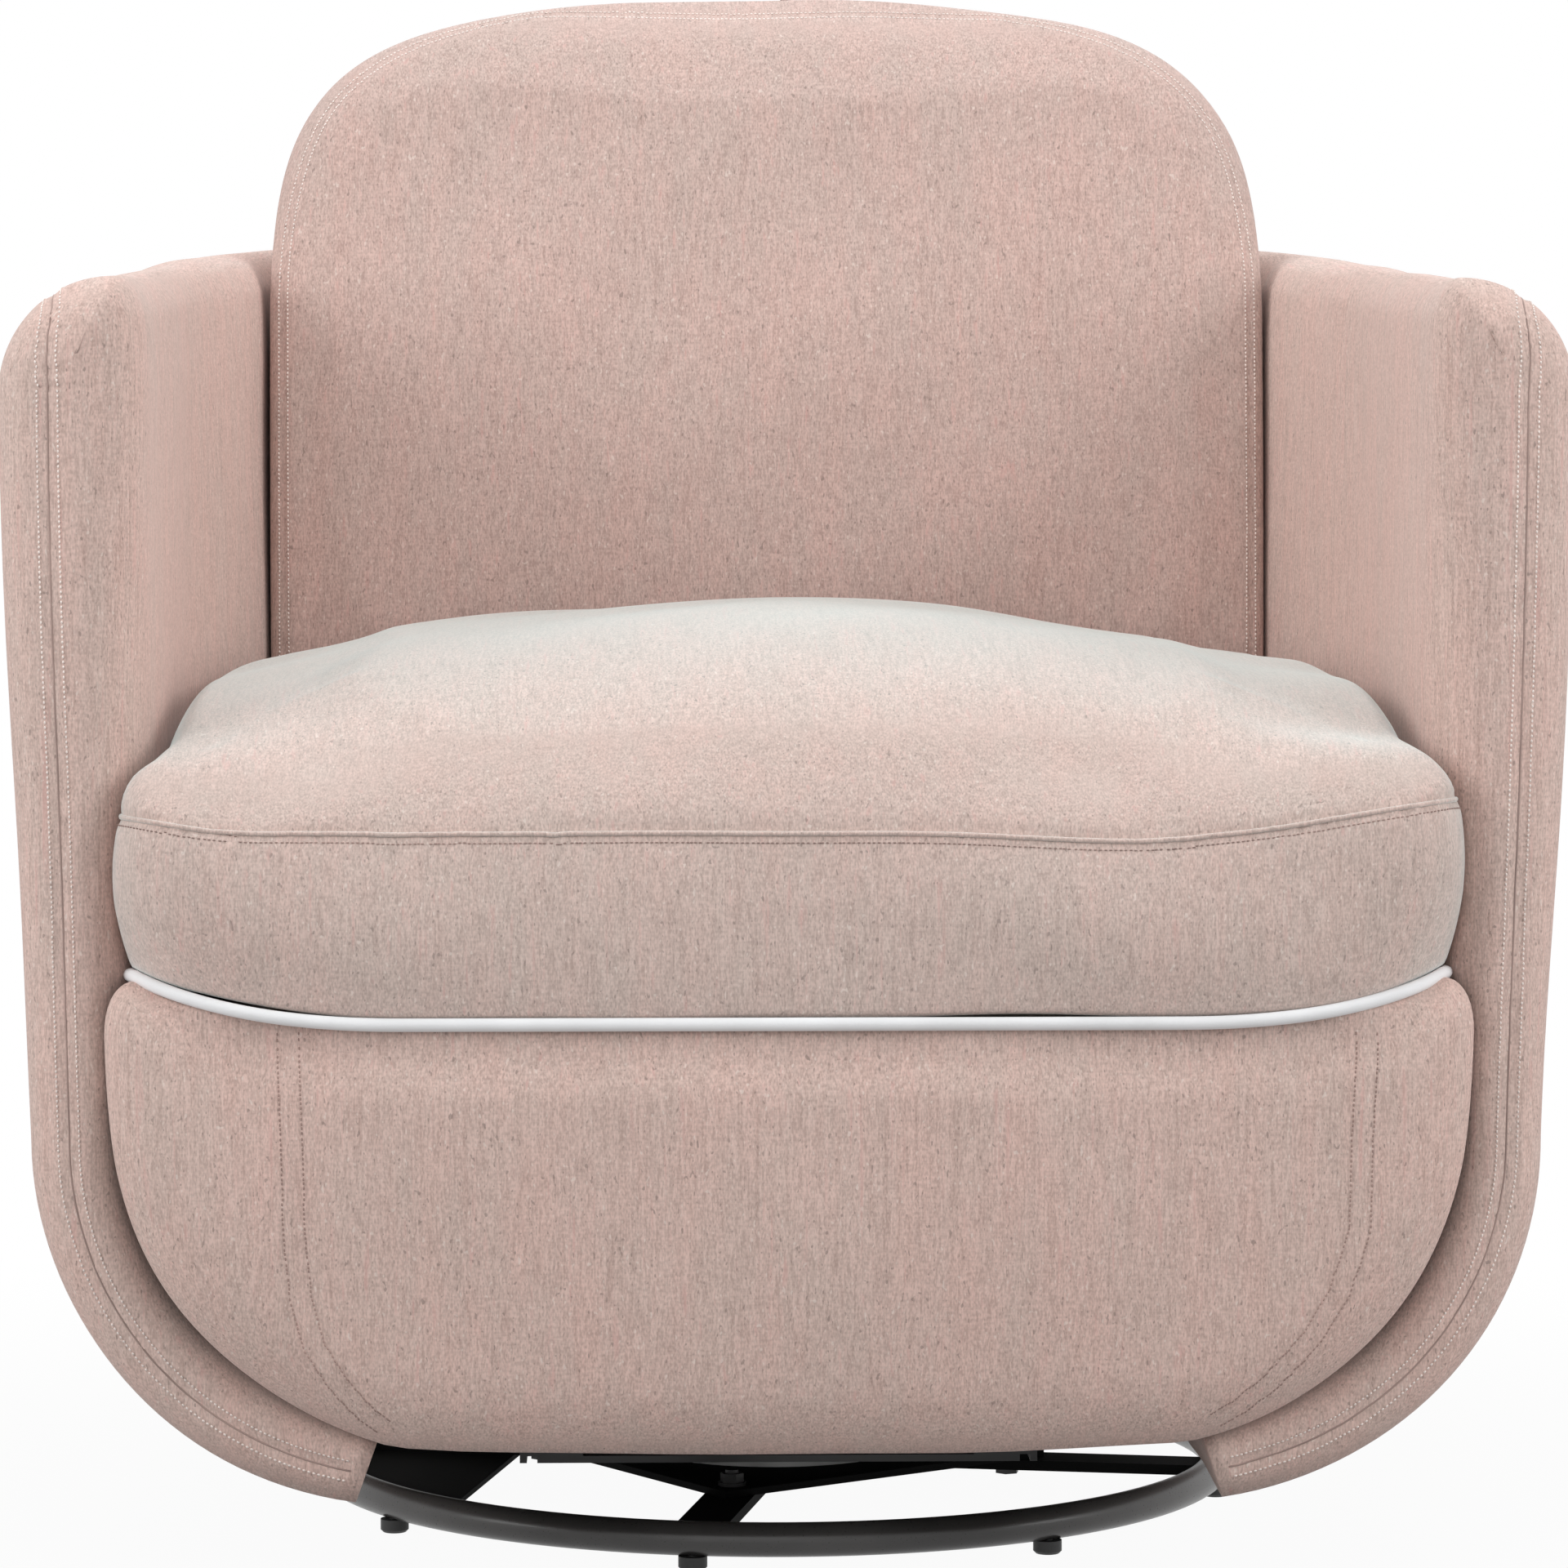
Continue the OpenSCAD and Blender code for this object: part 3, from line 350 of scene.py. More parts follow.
def tube_rings(route, r, sides):
    pts = [Vector(p) for p in route]
    turns = [2 * math.pi * k / sides for k in range(sides)]
    rings = []
    for i, p in enumerate(pts):
        t = (pts[min(i + 1, len(pts) - 1)] - pts[max(i - 1, 0)]).normalized()
        ref = Vector((0, 0, 1)) if abs(t.z) < 0.8 else Vector((0, 1, 0))
        side = t.cross(ref).normalized()
        top = side.cross(t).normalized()
        rings.append([p + r * (math.cos(a) * side + math.sin(a) * top) for a in turns])
    return rings


def seam_line(name, ob, paths, r=0.0006, sink=0.0002, step=0.004, sides=6):
    """The thin dark line where two panels are sewn together, half sunk in the cloth: painted shade of the
    seam's crevice.
    """
    bvh = surface(ob)
    verts, faces = [], []
    for path in paths:
        pts, _ = resample(path, step)
        laid = []
        for p in pts:
            q, n, _, _ = bvh.find_nearest(Vector(p))
            laid.append(q - n * sink)
        rings = tube_rings(laid, r, sides)
        start = len(verts)
        verts += [v for ring in rings for v in ring]
        faces += [tuple(start + v for v in f) for f in ring_faces(len(rings), sides)]
        for end in (start, start + (len(rings) - 1) * sides):
            faces.append(tuple(end + k for k in range(sides)))
    out = new_mesh(name, verts, faces)
    fix_normals(out)
    return out


def make_welt(ob, path):
    """The thin raised welt that closes the cushion's front top seam."""
    bvh = surface(ob)
    pts, _ = resample(path, 0.006)
    route = []
    for p in pts:
        q, n, _, _ = bvh.find_nearest(Vector(p))
        route.append(q + n * WELT_R * 0.35)
    return loft_closed("seat_welt", tube_rings(route, WELT_R, 10))


# ---- Cushion filling ----

PRESSURE = 4.0
SLACK = -0.02  # the cloth is cut a little larger than the form
PUFF_FRAMES = 20
PUFF_CAP = 0.006
CREASE_ROUNDS = 30


def edge_ends(ob):
    ends = np.empty(len(ob.data.edges) * 2, np.int32)
    ob.data.edges.foreach_get("vertices", ends)
    return ends[0::2], ends[1::2]


def simulate_cloth(ob, weights):
    """Where the cloth's points come to lie under pressure from inside, with the weighted points held."""
    group = ob.vertex_groups.new(name="held")
    for i, weight in enumerate(weights):
        group.add([i], weight, "REPLACE")
    mod = ob.modifiers.new("cloth", "CLOTH")
    cloth = mod.settings
    cloth.quality = 6
    cloth.mass = 0.25
    cloth.tension_stiffness = cloth.compression_stiffness = 12
    cloth.shear_stiffness = 4
    cloth.bending_stiffness = 0.4
    cloth.shrink_min = SLACK
    cloth.use_pressure = True
    cloth.uniform_pressure_force = PRESSURE
    cloth.vertex_group_mass = "held"
    cloth.effector_weights.gravity = 0
    mod.point_cache.frame_start = 1
    mod.point_cache.frame_end = PUFF_FRAMES
    for f in range(1, PUFF_FRAMES + 1):
        bpy.context.scene.frame_set(f)
    dg = bpy.context.evaluated_depsgraph_get()
    end = coords(ob.evaluated_get(dg)).copy()
    ob.modifiers.clear()
    ob.vertex_groups.clear()
    bpy.context.scene.frame_set(1)
    return end


def inflate(ob, held):
    """Blows the cushion up as cloth. Its creases are smoothed, and no point moves further than PUFF_CAP."""
    start = coords(ob).copy()
    weights = [held(p) for p in start]
    move = simulate_cloth(ob, weights) - start
    a, b = edge_ends(ob)
    count = np.maximum(np.bincount(np.concatenate([a, b]), minlength=len(start)), 1)[:, None]
    move = np.column_stack([move, 1 - np.array(weights)])
    for _ in range(CREASE_ROUNDS):
        total = np.zeros_like(move)
        np.add.at(total, a, move[b])
        np.add.at(total, b, move[a])
        move = 0.4 * move + 0.6 * total / count
    move = move[:, :3] * move[:, 3:]
    size = np.linalg.norm(move, axis=1, keepdims=True)
    move *= np.minimum(1, PUFF_CAP / np.maximum(size, 1e-9))
    set_coords(ob, start + move)


# ---- Barrel cover ----

def barrel_n(z):
    return LOW_N + (TOP_N - LOW_N) * clamp01((z - THICK_Z) / (SHOULDER_Z - THICK_Z))


def tuck(y, z):
    """How far the arm's inside padding swells inwards where it closes on the leaning back's edge."""
    y -= max(0, z - INSIDE_Z) * math.tan(RECLINE)
    return TUCK * ease(y, *TUCK_IN) * (1 - ease(y, *TUCK_OUT))


def arm_inner_x(y, z):
    n = barrel_n(z)
    v = clamp01((y - BEND_Y) / (SHELL_B - BACK_T - 0.004))
    return (SHELL_A - ARM_T) * (1 - v ** n) ** (1 / n) - tuck(y, z)


ROLL_START = math.asin(((LOBE_X - (SHELL_A - LEAN - ROLL_IN)) / ROLL_IN) ** (1 / ROLL_FULL))


def roll_angle(t):
    return ROLL_START + (math.pi / 2 - ROLL_START) * t / ROLL_T


def crest_angle(t):
    return (t - CAP_T) / (1 - CAP_T) * math.pi / 2


def outer_point(t):
    """Outside section, t 0 at the low lip to 1 at the crest: offsets at side and back, and height."""
    if t < ROLL_T:
        q = roll_angle(t)
        o = -ROLL_IN * (1 - math.sin(q) ** ROLL_FULL)
        return o - LEAN, BACK_ROLL * o - LEAN, ROLL_Z - ROLL_H * math.cos(q)
    if t < CAP_T:
        u = (t - ROLL_T) / (CAP_T - ROLL_T)
        o = -LEAN * (1 - smooth(u) * 0.5 - u * 0.5) + SIDE_SWELL * math.sin(math.pi * u)
        return o, o, ROLL_Z + (CAP_Z - ROLL_Z) * u
    q = crest_angle(t)
    o = -CAP_OUT * (1 - math.cos(q))
    return o, o, CAP_Z + CAP_H * math.sin(q)


def inner_point(t):
    """Inside section, in the same terms."""
    if t < ROLL_T:
        q = roll_angle(t)
        o = -ROLL_IN * (1 - math.sin(q))
        w = -LEAN - WALL_LOW_T * math.sin(q)
        return o + w, BACK_ROLL * o + w, ROLL_Z - (ROLL_H - ROLL_WALL_T) * math.cos(q)
    if t < CAP_T:
        z = ROLL_Z + (CAP_Z - ROLL_Z) * (t - ROLL_T) / (CAP_T - ROLL_T)
        s = smooth((z - ROLL_Z) / (THICK_Z - ROLL_Z))
        lo = -LEAN - WALL_LOW_T
        return lo + (-ARM_T - lo) * s, lo + (-BACK_T - lo) * s, z
    q = crest_angle(t)
    return (-CAP_OUT - CAP_IN * math.cos(q), -CAP_OUT - (BACK_T - CAP_OUT) * math.cos(q),
            CAP_Z + (CAP_H - CAP_IN_H) * smooth(q / 0.5) + CAP_IN_H * math.sin(q))


def spine_point(t):
    """Where the arm's front end closes: the middle of the wall, and a ridge below the crest."""
    a, b = outer_point(min(t, CAP_T)), inner_point(min(t, CAP_T))
    mid = [(u + v) / 2 for u, v in zip(a, b)]
    if t > CAP_T:
        q = crest_angle(t)
        mid[0] -= SPINE_IN * (1 - math.cos(q))
        mid[2] += SPINE_TOP * math.sin(q)
    return mid


def rise(y):
    return RISE * clamp01((y + NOSE_Y) / (RISE_END + NOSE_Y)) ** RISE_POWER


def station_xy(s, out_side, out_back, z):
    """Plan point of a station: -1 at the left arm's front, 0 at the rear, 1 at the right arm's front."""
    sign = -1 if s < 0 else 1
    m = abs(s)
    if m <= BEND_S:
        phi = math.pi / 2 * (1 - m / BEND_S)
        e = 2 / barrel_n(z)
        return (sign * (SHELL_A + out_side) * signed_power(math.cos(phi), e) if m > 0 else 0.0,
                BEND_Y + (SHELL_B + out_back) * signed_power(math.sin(phi), e))
    return sign * (SHELL_A + out_side), BEND_Y + (-NOSE_Y - BEND_Y) * (m - BEND_S) / (1 - BEND_S)


def nose_share(y, side=1):
    """How far the arm's front has opened at y, 0 to 1, outside (side 1) or inside (side -1)."""
    if side > 0:
        return dome((y + NOSE_Y) / NOSE_R, NOSE_POWER)
    return dome((y + NOSE_Y) / NOSE_IN, NOSE_IN_POWER)


def nose_station(u):
    """The station that lies u of the nose's depth behind its front."""
    return 1 - (1 - BEND_S) * NOSE_R * u / (BEND_Y + NOSE_Y)


def nose_depth(share):
    """How deep behind its front, in parts of the nose's depth, the outside has opened to a share."""
    return 1 - (1 - share ** NOSE_POWER) ** (1 / NOSE_POWER)


def tuck_share(t):
    """The tuck fades out towards the roll and over the crest."""
    return ease(t, TUCK_LOW_T, 0.1) * (1 - ease(t, TUCK_TOP_T, 1 - TUCK_TOP_T))


def shell_xyz(s, t, side):
    """Point of the barrel at a station, along its outside (side 1) or inside (side -1) section."""
    p = outer_point(t) if side > 0 else inner_point(t)
    n = 1.0
    if abs(s) > BEND_S:
        y = station_xy(s, 0, 0, 0)[1]
        n = nose_share(y, side)
        if side < 0:
            n += (nose_share(y) - n) * ease(t, CREST_BLEND, CREST_OUTER - CREST_BLEND)
    c = spine_point(t)
    out_side, out_back, z = (c[k] + n * (p[k] - c[k]) for k in range(3))
    up = clamp01((z - ROLL_Z) / (ARM_FRONT - ROLL_Z))
    raised = z + rise(station_xy(s, out_side, out_back, z)[1]) * up
    x, y = station_xy(s, out_side, out_back, raised)
    if side < 0:
        x -= math.copysign(tuck(y, raised) * tuck_share(t), x)
    return x, y, raised


# Rows of the arm's front in parts of the nose's depth, close together at its edge, where it turns fastest
NOSE_ROWS = (0, 0.0006, 0.0025, 0.006, 0.012, 0.02, 0.035, 0.06, 0.1, 0.15, 0.22, 0.31, 0.42, 0.55, 0.7,
             0.85, 1, 1.25, 1.5, 1.88)


def make_shell():
    nose = [nose_station(u) for u in NOSE_ROWS]
    half = nose + list(np.linspace(nose[-1], BEND_S, 24)[1:]) + list(np.linspace(BEND_S, 0.0, 62)[1:])
    stations = [-v for v in half] + list(reversed(half[:-1]))
    ts = list(np.linspace(0, ROLL_T, 34)) + list(np.linspace(ROLL_T, CAP_T, 50))[1:]
    ts += list(np.linspace(CAP_T, 1, 32))[1:]
    loop = [(t, 1) for t in ts] + [(t, -1) for t in reversed(ts)]
    verts = [shell_xyz(s, t, side) for s in stations for t, side in loop]
    ob = new_mesh("barrel_cover", verts, ring_faces(len(stations), len(loop)))
    fix_normals(ob)
    return ob


def mirrored(right):
    """The whole line, left end to right end, of a half that runs from its right end to the middle."""
    return [(-x, y, z) for x, y, z in right] + list(reversed(right))[1:]


def rim_seam():
    """From the low lip up one arm's front, over its outer top corner and round the barrel's shoulder."""
    front = [(nose_station(nose_depth(RIM_SHARE)), t) for t in np.linspace(0.01, CAP_T, 90)]
    corner = [(nose_station(nose_depth(RIM_SHARE + (0.998 - RIM_SHARE) * (1 - math.cos(a)))),
               CAP_T + (TOP_SEAM_T - CAP_T) * math.sin(a)) for a in np.linspace(0, math.pi / 2, 24)[1:]]
    along = [(s, TOP_SEAM_T) for s in np.linspace(corner[-1][0], 0, 90)[1:]]
    return mirrored([shell_xyz(s, t, 1) for s, t in front + corner + along])


def side_seam(s):
    return [shell_xyz(s, t, 1) for t in np.linspace(0.02, TOP_SEAM_T, 60)]


# ---- The seat's seams: the white piping and the top seam above it ----

def piping_lift(x):
    """The piping climbs towards both ends."""
    return 0.022 * clamp01((abs(x) - 0.20) / 0.142) ** 2.2


def seam_height(x):
    """The seat's front top seam, which rides up a little more at the right corner than at the left."""
    right = 0.0145 * ease(x, 0.20, 0.15) ** 1.4 - 0.004 * math.exp(-((x - 0.17) / 0.06) ** 2)
    left = 0.006 * ease(-x, 0.28, 0.07)
    return SEAM_Z + right + left


def front_corner(half, front, rx, ry, count=CORNER_POINTS):
    """Plan points round the right front corner, from its front to its side."""
    return [(half - rx + rx * math.sin(a), front + ry - ry * math.cos(a))
            for a in np.linspace(0, math.pi / 2, count)]


def seat_limit(y, z):
    """How far out the cushion may go beside an arm and round its nose."""
    if y < -NOSE_Y + 0.0005:
        return 1.0
    if y < -NOSE_Y + NOSE_IN:
        return SHELL_A - ARM_T / 2 - ARM_T / 2 * nose_share(y, -1) - NOSE_GAP
    return arm_inner_x(y, z) - SEAT_GAP


def piping_plan():
    corner = front_corner(PIPING_HALF, FRONT_Y, PIPING_RX, PIPING_RY, 20)
    front = [(x, FRONT_Y) for x in np.linspace(0, corner[0][0], 40)[:-1]]
    half = [(min(x, seat_limit(y, PIPING_Z)), y) for x, y in front + corner]
    return [(-x, y) for x, y in reversed(half)] + half[1:]


def make_piping():
    bow = 0.0015  # forward at the middle
    route = [(x, y - bow * (1 - (x / 0.35) ** 2), PIPING_Z + piping_lift(x)) for x, y in piping_plan()]
    return loft_closed("piping_cover", tube_rings(route, PIPING_R * 0.98, 16))


# ---- Front panel ----

def belly_outline(k):
    """Point at angle k (0..pi) of the rounded lower outline, which has a level stretch in its middle."""
    c, s = math.cos(k), math.sin(k)
    core = BELLY_X * 0.42
    x = 0.0
    if abs(c) > 1e-9:
        x = math.copysign(core * min(1, abs(c) * 4) + (BELLY_X - core) * abs(c) ** (2 / BELLY_N), c)
    return x, BELLY_MID - (BELLY_MID - BELLY_Z) * s ** (2 / BELLY_N)


def panel_outline():
    """Closed outline of the panel's face in x and z, with a level top that is lifted to the piping later."""
    low = [belly_outline(k) for k in np.linspace(0, math.pi, 91)]
    quarter = np.linspace(0, math.pi / 2, 10)[1:]
    shoulder = [(PANEL_TOP_X + (BELLY_X - PANEL_TOP_X) * math.cos(a),
                 BELLY_MID + (PANEL_TOP - BELLY_MID) * math.sin(a)) for a in quarter]
    top = [(x, PANEL_TOP) for x in np.linspace(-PANEL_TOP_X, PANEL_TOP_X, 70)[1:-1]]
    return low + [(-x, z) for x, z in shoulder] + top + list(reversed(shoulder))


def lifted(x, z):
    """Raises the panel's upper part to the line of the piping."""
    return z + piping_lift(x) * ease(z, PANEL_CENTRE_Z, PANEL_TOP - PANEL_CENTRE_Z)


def line_gap(line, p):
    """Distance from a plan point to a line of points."""
    a, b = line[:-1], line[1:]
    seg = b - a
    v = p - a
    h = np.clip((v * seg).sum(1) / np.maximum((seg ** 2).sum(1), 1e-12), 0, 1)
    return float(np.sqrt(((v - h[:, None] * seg) ** 2).sum(1)).min())


def panel_y(x, z, edge):
    """The face: a pillow whose rim lies back between the arms and comes forward under the piping."""
    upper = ease(z, 0.285, 0.03) * (1 - ease(abs(x), 0.29, 0.05))
    rim = -NOSE_Y - 0.003 + (FRONT_Y + 0.004 + NOSE_Y + 0.003) * upper
    full = BELLY_Y - BELLY_BULGE * (1 - (x / 0.46) ** 2) * (1 - ((z - 0.262) / 0.20) ** 2)
    swell = dome(line_gap(edge, np.array([x, z])) / PANEL_EDGE, PANEL_POWER)
    return rim + (full - rim) * swell


def make_front_panel():
    outline = np.array(panel_outline())
    edge = np.concatenate([outline, outline[:1]])
    centre = np.array([0.0, PANEL_CENTRE_Z])
    rings = [[(x, -NOSE_Y + 0.0015, lifted(x, z)) for x, z in outline]]
    shares = [1 - 0.16 * v ** 1.6 for v in np.linspace(0, 1, 16)] + list(np.linspace(0.84, 0.02, 34)[1:])
    for share in shares:
        ring = []
        for p in outline:
            x, z = centre + (p - centre) * share
            ring.append((x, panel_y(x, z, edge), lifted(x, z)))
        rings.append(ring)
    return loft_closed("front_panel_cover", rings)


# The left curved seam in x and z, from the piping down to the underside. The right one sits further out by
# SEAM_OUT, and draws in again below SEAM_OUT_Z.
PANEL_SEAM = [(-0.2613, 0.3120), (-0.2587, 0.2551), (-0.2577, 0.2081), (-0.2545, 0.1738), (-0.2480, 0.1470),
              (-0.2370, 0.1236), (-0.2224, 0.0993), (-0.214, 0.0905)]
PANEL_SEAM_Y = -0.424
SEAM_OUT, SEAM_OUT_Z, SEAM_DRAW = 1.145, 0.2, 0.9


def panel_seams():
    """The curved seams that shape the lower corners of the front panel."""
    left = [(x, PANEL_SEAM_Y, z) for x, z in PANEL_SEAM]
    right = [(-x * (SEAM_OUT - max(0, SEAM_OUT_Z - z) * SEAM_DRAW), y, z) for x, y, z in left]
    return [left, right]


# ---- Seat cushion ----

def inside_front(z):
    return INSIDE_Y + (z - INSIDE_Z) * math.tan(RECLINE)


def seat_plan(level, z):
    """Closed plan outline of the boxing at a level from 0, the piping, to 1, the top seam."""
    low, mid, top = SEAT_HALF
    swell = math.sin(math.pi * level) ** 0.8
    half = low + (top - low) * level + (mid - (low + top) / 2) * swell
    front = FRONT_Y + 0.0015 - 0.0065 * swell
    rx = PIPING_RX + (SEAM_RX - PIPING_RX) * level
    ry = PIPING_RY + (SEAM_RY - PIPING_RY) * level
    rear = inside_front(z) - 0.002
    r = SEAT_REAR_R
    corner = front_corner(half, front, rx, ry)
    right = [(x, front) for x in np.linspace(0, corner[0][0], FRONT_POINTS)[:-1]] + corner
    right += [(half, y) for y in np.linspace(corner[-1][1], rear - r, 40)[1:]]
    right = [(min(x, seat_limit(y, z)), y) for x, y in right]
    x1 = right[-1][0]
    right += [(x1 - r + r * math.cos(a), rear - r + r * math.sin(a))
              for a in np.linspace(0, math.pi / 2, 5)[1:]]
    right += [(x, rear) for x in np.linspace(x1 - r, 0, 26)[1:]]
    left = [(-x, y) for x, y in reversed(right[1:-1])]
    return right + left


def boxing(level):
    """The upright band's ring at a level, between the piping's line and the top seam's."""
    ring = []
    for x, y in seat_plan(level, PIPING_Z + (SEAM_Z - PIPING_Z) * level):
        low = PIPING_Z + piping_lift(x) + PIPING_GRIP
        ring.append((x, y, low + (seam_height(x) - low) * level))
    return ring


def crown_ramp(x, y, front_gap):
    """0 at the front seam to 1 over the full crown, and 1 at a corner, where depth behind the front counts."""
    corner = ease(abs(x), 0.22, 0.07)
    depth = max(front_gap, y - FRONT_Y - 0.004)
    return clamp01((front_gap + (depth - front_gap) * corner) / CROWN_DEPTH), corner


def crown_height(x, y, v, corner, front_gap, rest_gap):
    """The top's height over its seam. It rises from the front, falls to the sides and has round edges."""
    fall = 0.30 + 0.03 * math.exp(-((y + 0.15) / 0.13) ** 2)
    h = CROWN * (1 - (1 - v) ** 2.6) ** 0.625 * (1 - fall * min(abs(x) / 0.32, 1.05) ** 1.7)
    h *= 1 - corner + corner * dome(front_gap / CROWN_EDGE, EDGE_POWER)
    h *= dome(rest_gap / CROWN_REST_EDGE, EDGE_POWER)
    h -= 0.004 * math.exp(-((x - 0.2) / 0.08) ** 2) * v
    return max(h, 0)


def make_seat():
    """The cushion and the line of its front top seam."""
    first = boxing(0)
    rings = [[(x * f, SEAT_MID_Y + (y - SEAT_MID_Y) * f, z) for x, y, z in first]
             for f in np.linspace(0.04, 0.97, 22)]
    rings += [boxing(level) for level in np.linspace(0, 1, 18)]
    edge = rings[-1]
    count = FRONT_POINTS - 1 + CORNER_POINTS
    plan = np.array([(x, y) for x, y, _ in edge])
    front = np.concatenate([plan[-(count - 1):], plan[:count]])
    rest = plan[count - 1:-(count - 1)]
    shares = [1 - 0.14 * v ** 1.7 for v in np.linspace(0, 1, 20)[1:]] + list(np.linspace(0.86, 0.015, 34)[1:])
    for share in shares:
        ring = []
        for x0, y0, z0 in edge:
            x, y = x0 * share, SEAT_MID_Y + (y0 - SEAT_MID_Y) * share
            front_gap = line_gap(front, np.array([x, y]))
            rest_gap = line_gap(rest, np.array([x, y]))
            v, corner = crown_ramp(x, y, front_gap)
            h = crown_height(x, y, v, corner, front_gap, rest_gap)
            ring.append((x, y, SEAM_Z + (z0 - SEAM_Z) * smooth(1 - v * 4) + h))
        rings.append(ring)
    return loft_closed("seat_cushion_cover", rings), edge[-(count - 1):] + edge[:count]


def seat_held(p):
    """The filling moves only the top between the arms and the boxing at the front."""
    boxing_rear = p[2] < SEAM_Z + 0.004 and p[1] > FRONT_Y + 0.03
    outside = abs(p[0]) > SEAT_FREE_X or p[1] > SEAT_FREE_Y
    return 1.0 if boxing_rear or outside or p[2] < PIPING_Z + 0.012 else 0.0


# ---- Tall back ----

def tomb_share(z):
    """The rounded top's share of the full width."""
    v = clamp01((z - SHOULDER_Z) / (BACK_TOP - SHOULDER_Z))
    return (1 - v ** SHOULDER_N) ** (1 / SHOULDER_N)


def tomb_x(z, y):
    """Half width of the tall back, which stays clear of the arm at that depth."""
    half = INSIDE_X + 0.003 * (1 - ease(z, 0.70, 0.05))
    return max(0.05, tomb_share(z)) * min(half, arm_inner_x(y, z) - BACK_GAP)


def board_front(z):
    return BACK_RAIL_Y - RAIL_T + BOARD_SEAT + (z - RAIL_TOP) * math.tan(RECLINE)


def back_ring_front(z):
    """The tall back's front, which rolls to the rear at its top."""
    return inside_front(z) + 0.004 + 0.036 * clamp01((z - 0.84) / (BACK_TOP - 0.84)) ** 3


def rows_up(low, top, count):
    """Heights from low to top, closer together near the top."""
    return [low + (top - low) * math.sin(a * math.pi / 2) ** 0.9 for a in np.linspace(0, 1, count)]


def back_ring(z):
    """Closed plan ring: rounded front corners, the front, the sides and the rear on the back board."""
    y0 = back_ring_front(z)
    y1 = board_front(z)
    r = min(0.012 + 0.018 * ease(z, 0.70, 0.10), (y1 - y0) * 0.45)
    w = tomb_x(z, y0 + r)
    rx = min(r, w * 0.4)
    ring = [(-w + rx + rx * math.cos(q), y0 + r + r * math.sin(q), z)
            for q in np.linspace(math.pi, 1.5 * math.pi, 9)]
    ring += [(t * (w - rx), y0, z) for t in np.linspace(-1, 1, 53)[1:-1]]
    ring += [(w - rx + rx * math.cos(q), y0 + r + r * math.sin(q), z)
             for q in np.linspace(1.5 * math.pi, 2 * math.pi, 9)]
    depths = [y0 + r + (y1 - y0 - r) * t for t in (0.15, 0.35, 0.55, 0.75, 1.0)]
    sides = [(min(w, tomb_x(z, y)), y) for y in depths]
    ring += [(x, y, z) for x, y in sides]
    ring += [(t * sides[-1][0], y1, z) for t in np.linspace(1, -1, 41)[1:-1]]
    return ring + [(-x, y, z) for x, y in reversed(sides)]


def make_back():
    return loft_closed("inside_back_cover", [back_ring(z) for z in rows_up(INSIDE_LOW, BACK_TOP, 78)])


def back_held(p):
    """The filling moves only the front face, between the seat and the rounded top."""
    low, high = BACK_FREE_Z
    behind = p[1] > back_ring_front(p[2]) + 0.004
    near_side = abs(p[0]) > tomb_x(p[2], p[1]) - 0.028
    return 1.0 if behind or p[2] < low or p[2] > high or near_side else 0.0


def back_seam():
    """Double-stitched line just inside the tall back's sides and top."""
    right = []
    for z in list(np.linspace(0.47, 0.83, 60)) + list(np.linspace(0.83, BACK_SEAM_Z, 24))[1:]:
        y = back_ring_front(z)
        right.append((max(tomb_x(z + 0.004, y) - BACK_SEAM_IN, 0.0), y, z))
    top = np.linspace(right[-1][0], 0, 24)[1:]
    return mirrored(right + [(x, back_ring_front(BACK_SEAM_Z), BACK_SEAM_Z) for x in top])


def outside_ring(z, top):
    """Closed plan ring of the outside back's cover, from the back board's front to the shell."""
    e = 0.030 * clamp01((z - 0.80) / (top - 0.80)) ** 2.4
    y0 = board_front(z) + OUTSIDE_GAP
    y1 = BEND_Y + SHELL_B - BACK_T - 0.0045 - e
    side = [(tomb_x(z, y + e), y, z) for y in (y0 + (y1 - y0) * t for t in np.linspace(0, 1, 14))]
    ring = list(side)
    ring += [(t * tomb_x(z, y1 + e), y1, z) for t in np.linspace(1, -1, 25)[1:-1]]
    ring += [(-x, y, z) for x, y, z in reversed(side)]
    return ring + [(t * tomb_x(z, y0), y0, z) for t in np.linspace(-1, 1, 25)[1:-1]]


def make_outside_back():
    top = BACK_TOP - 0.003
    return loft_closed("outside_back_cover", [outside_ring(z, top) for z in rows_up(OUTSIDE_LOW, top, 40)])


# ---- Materials ----

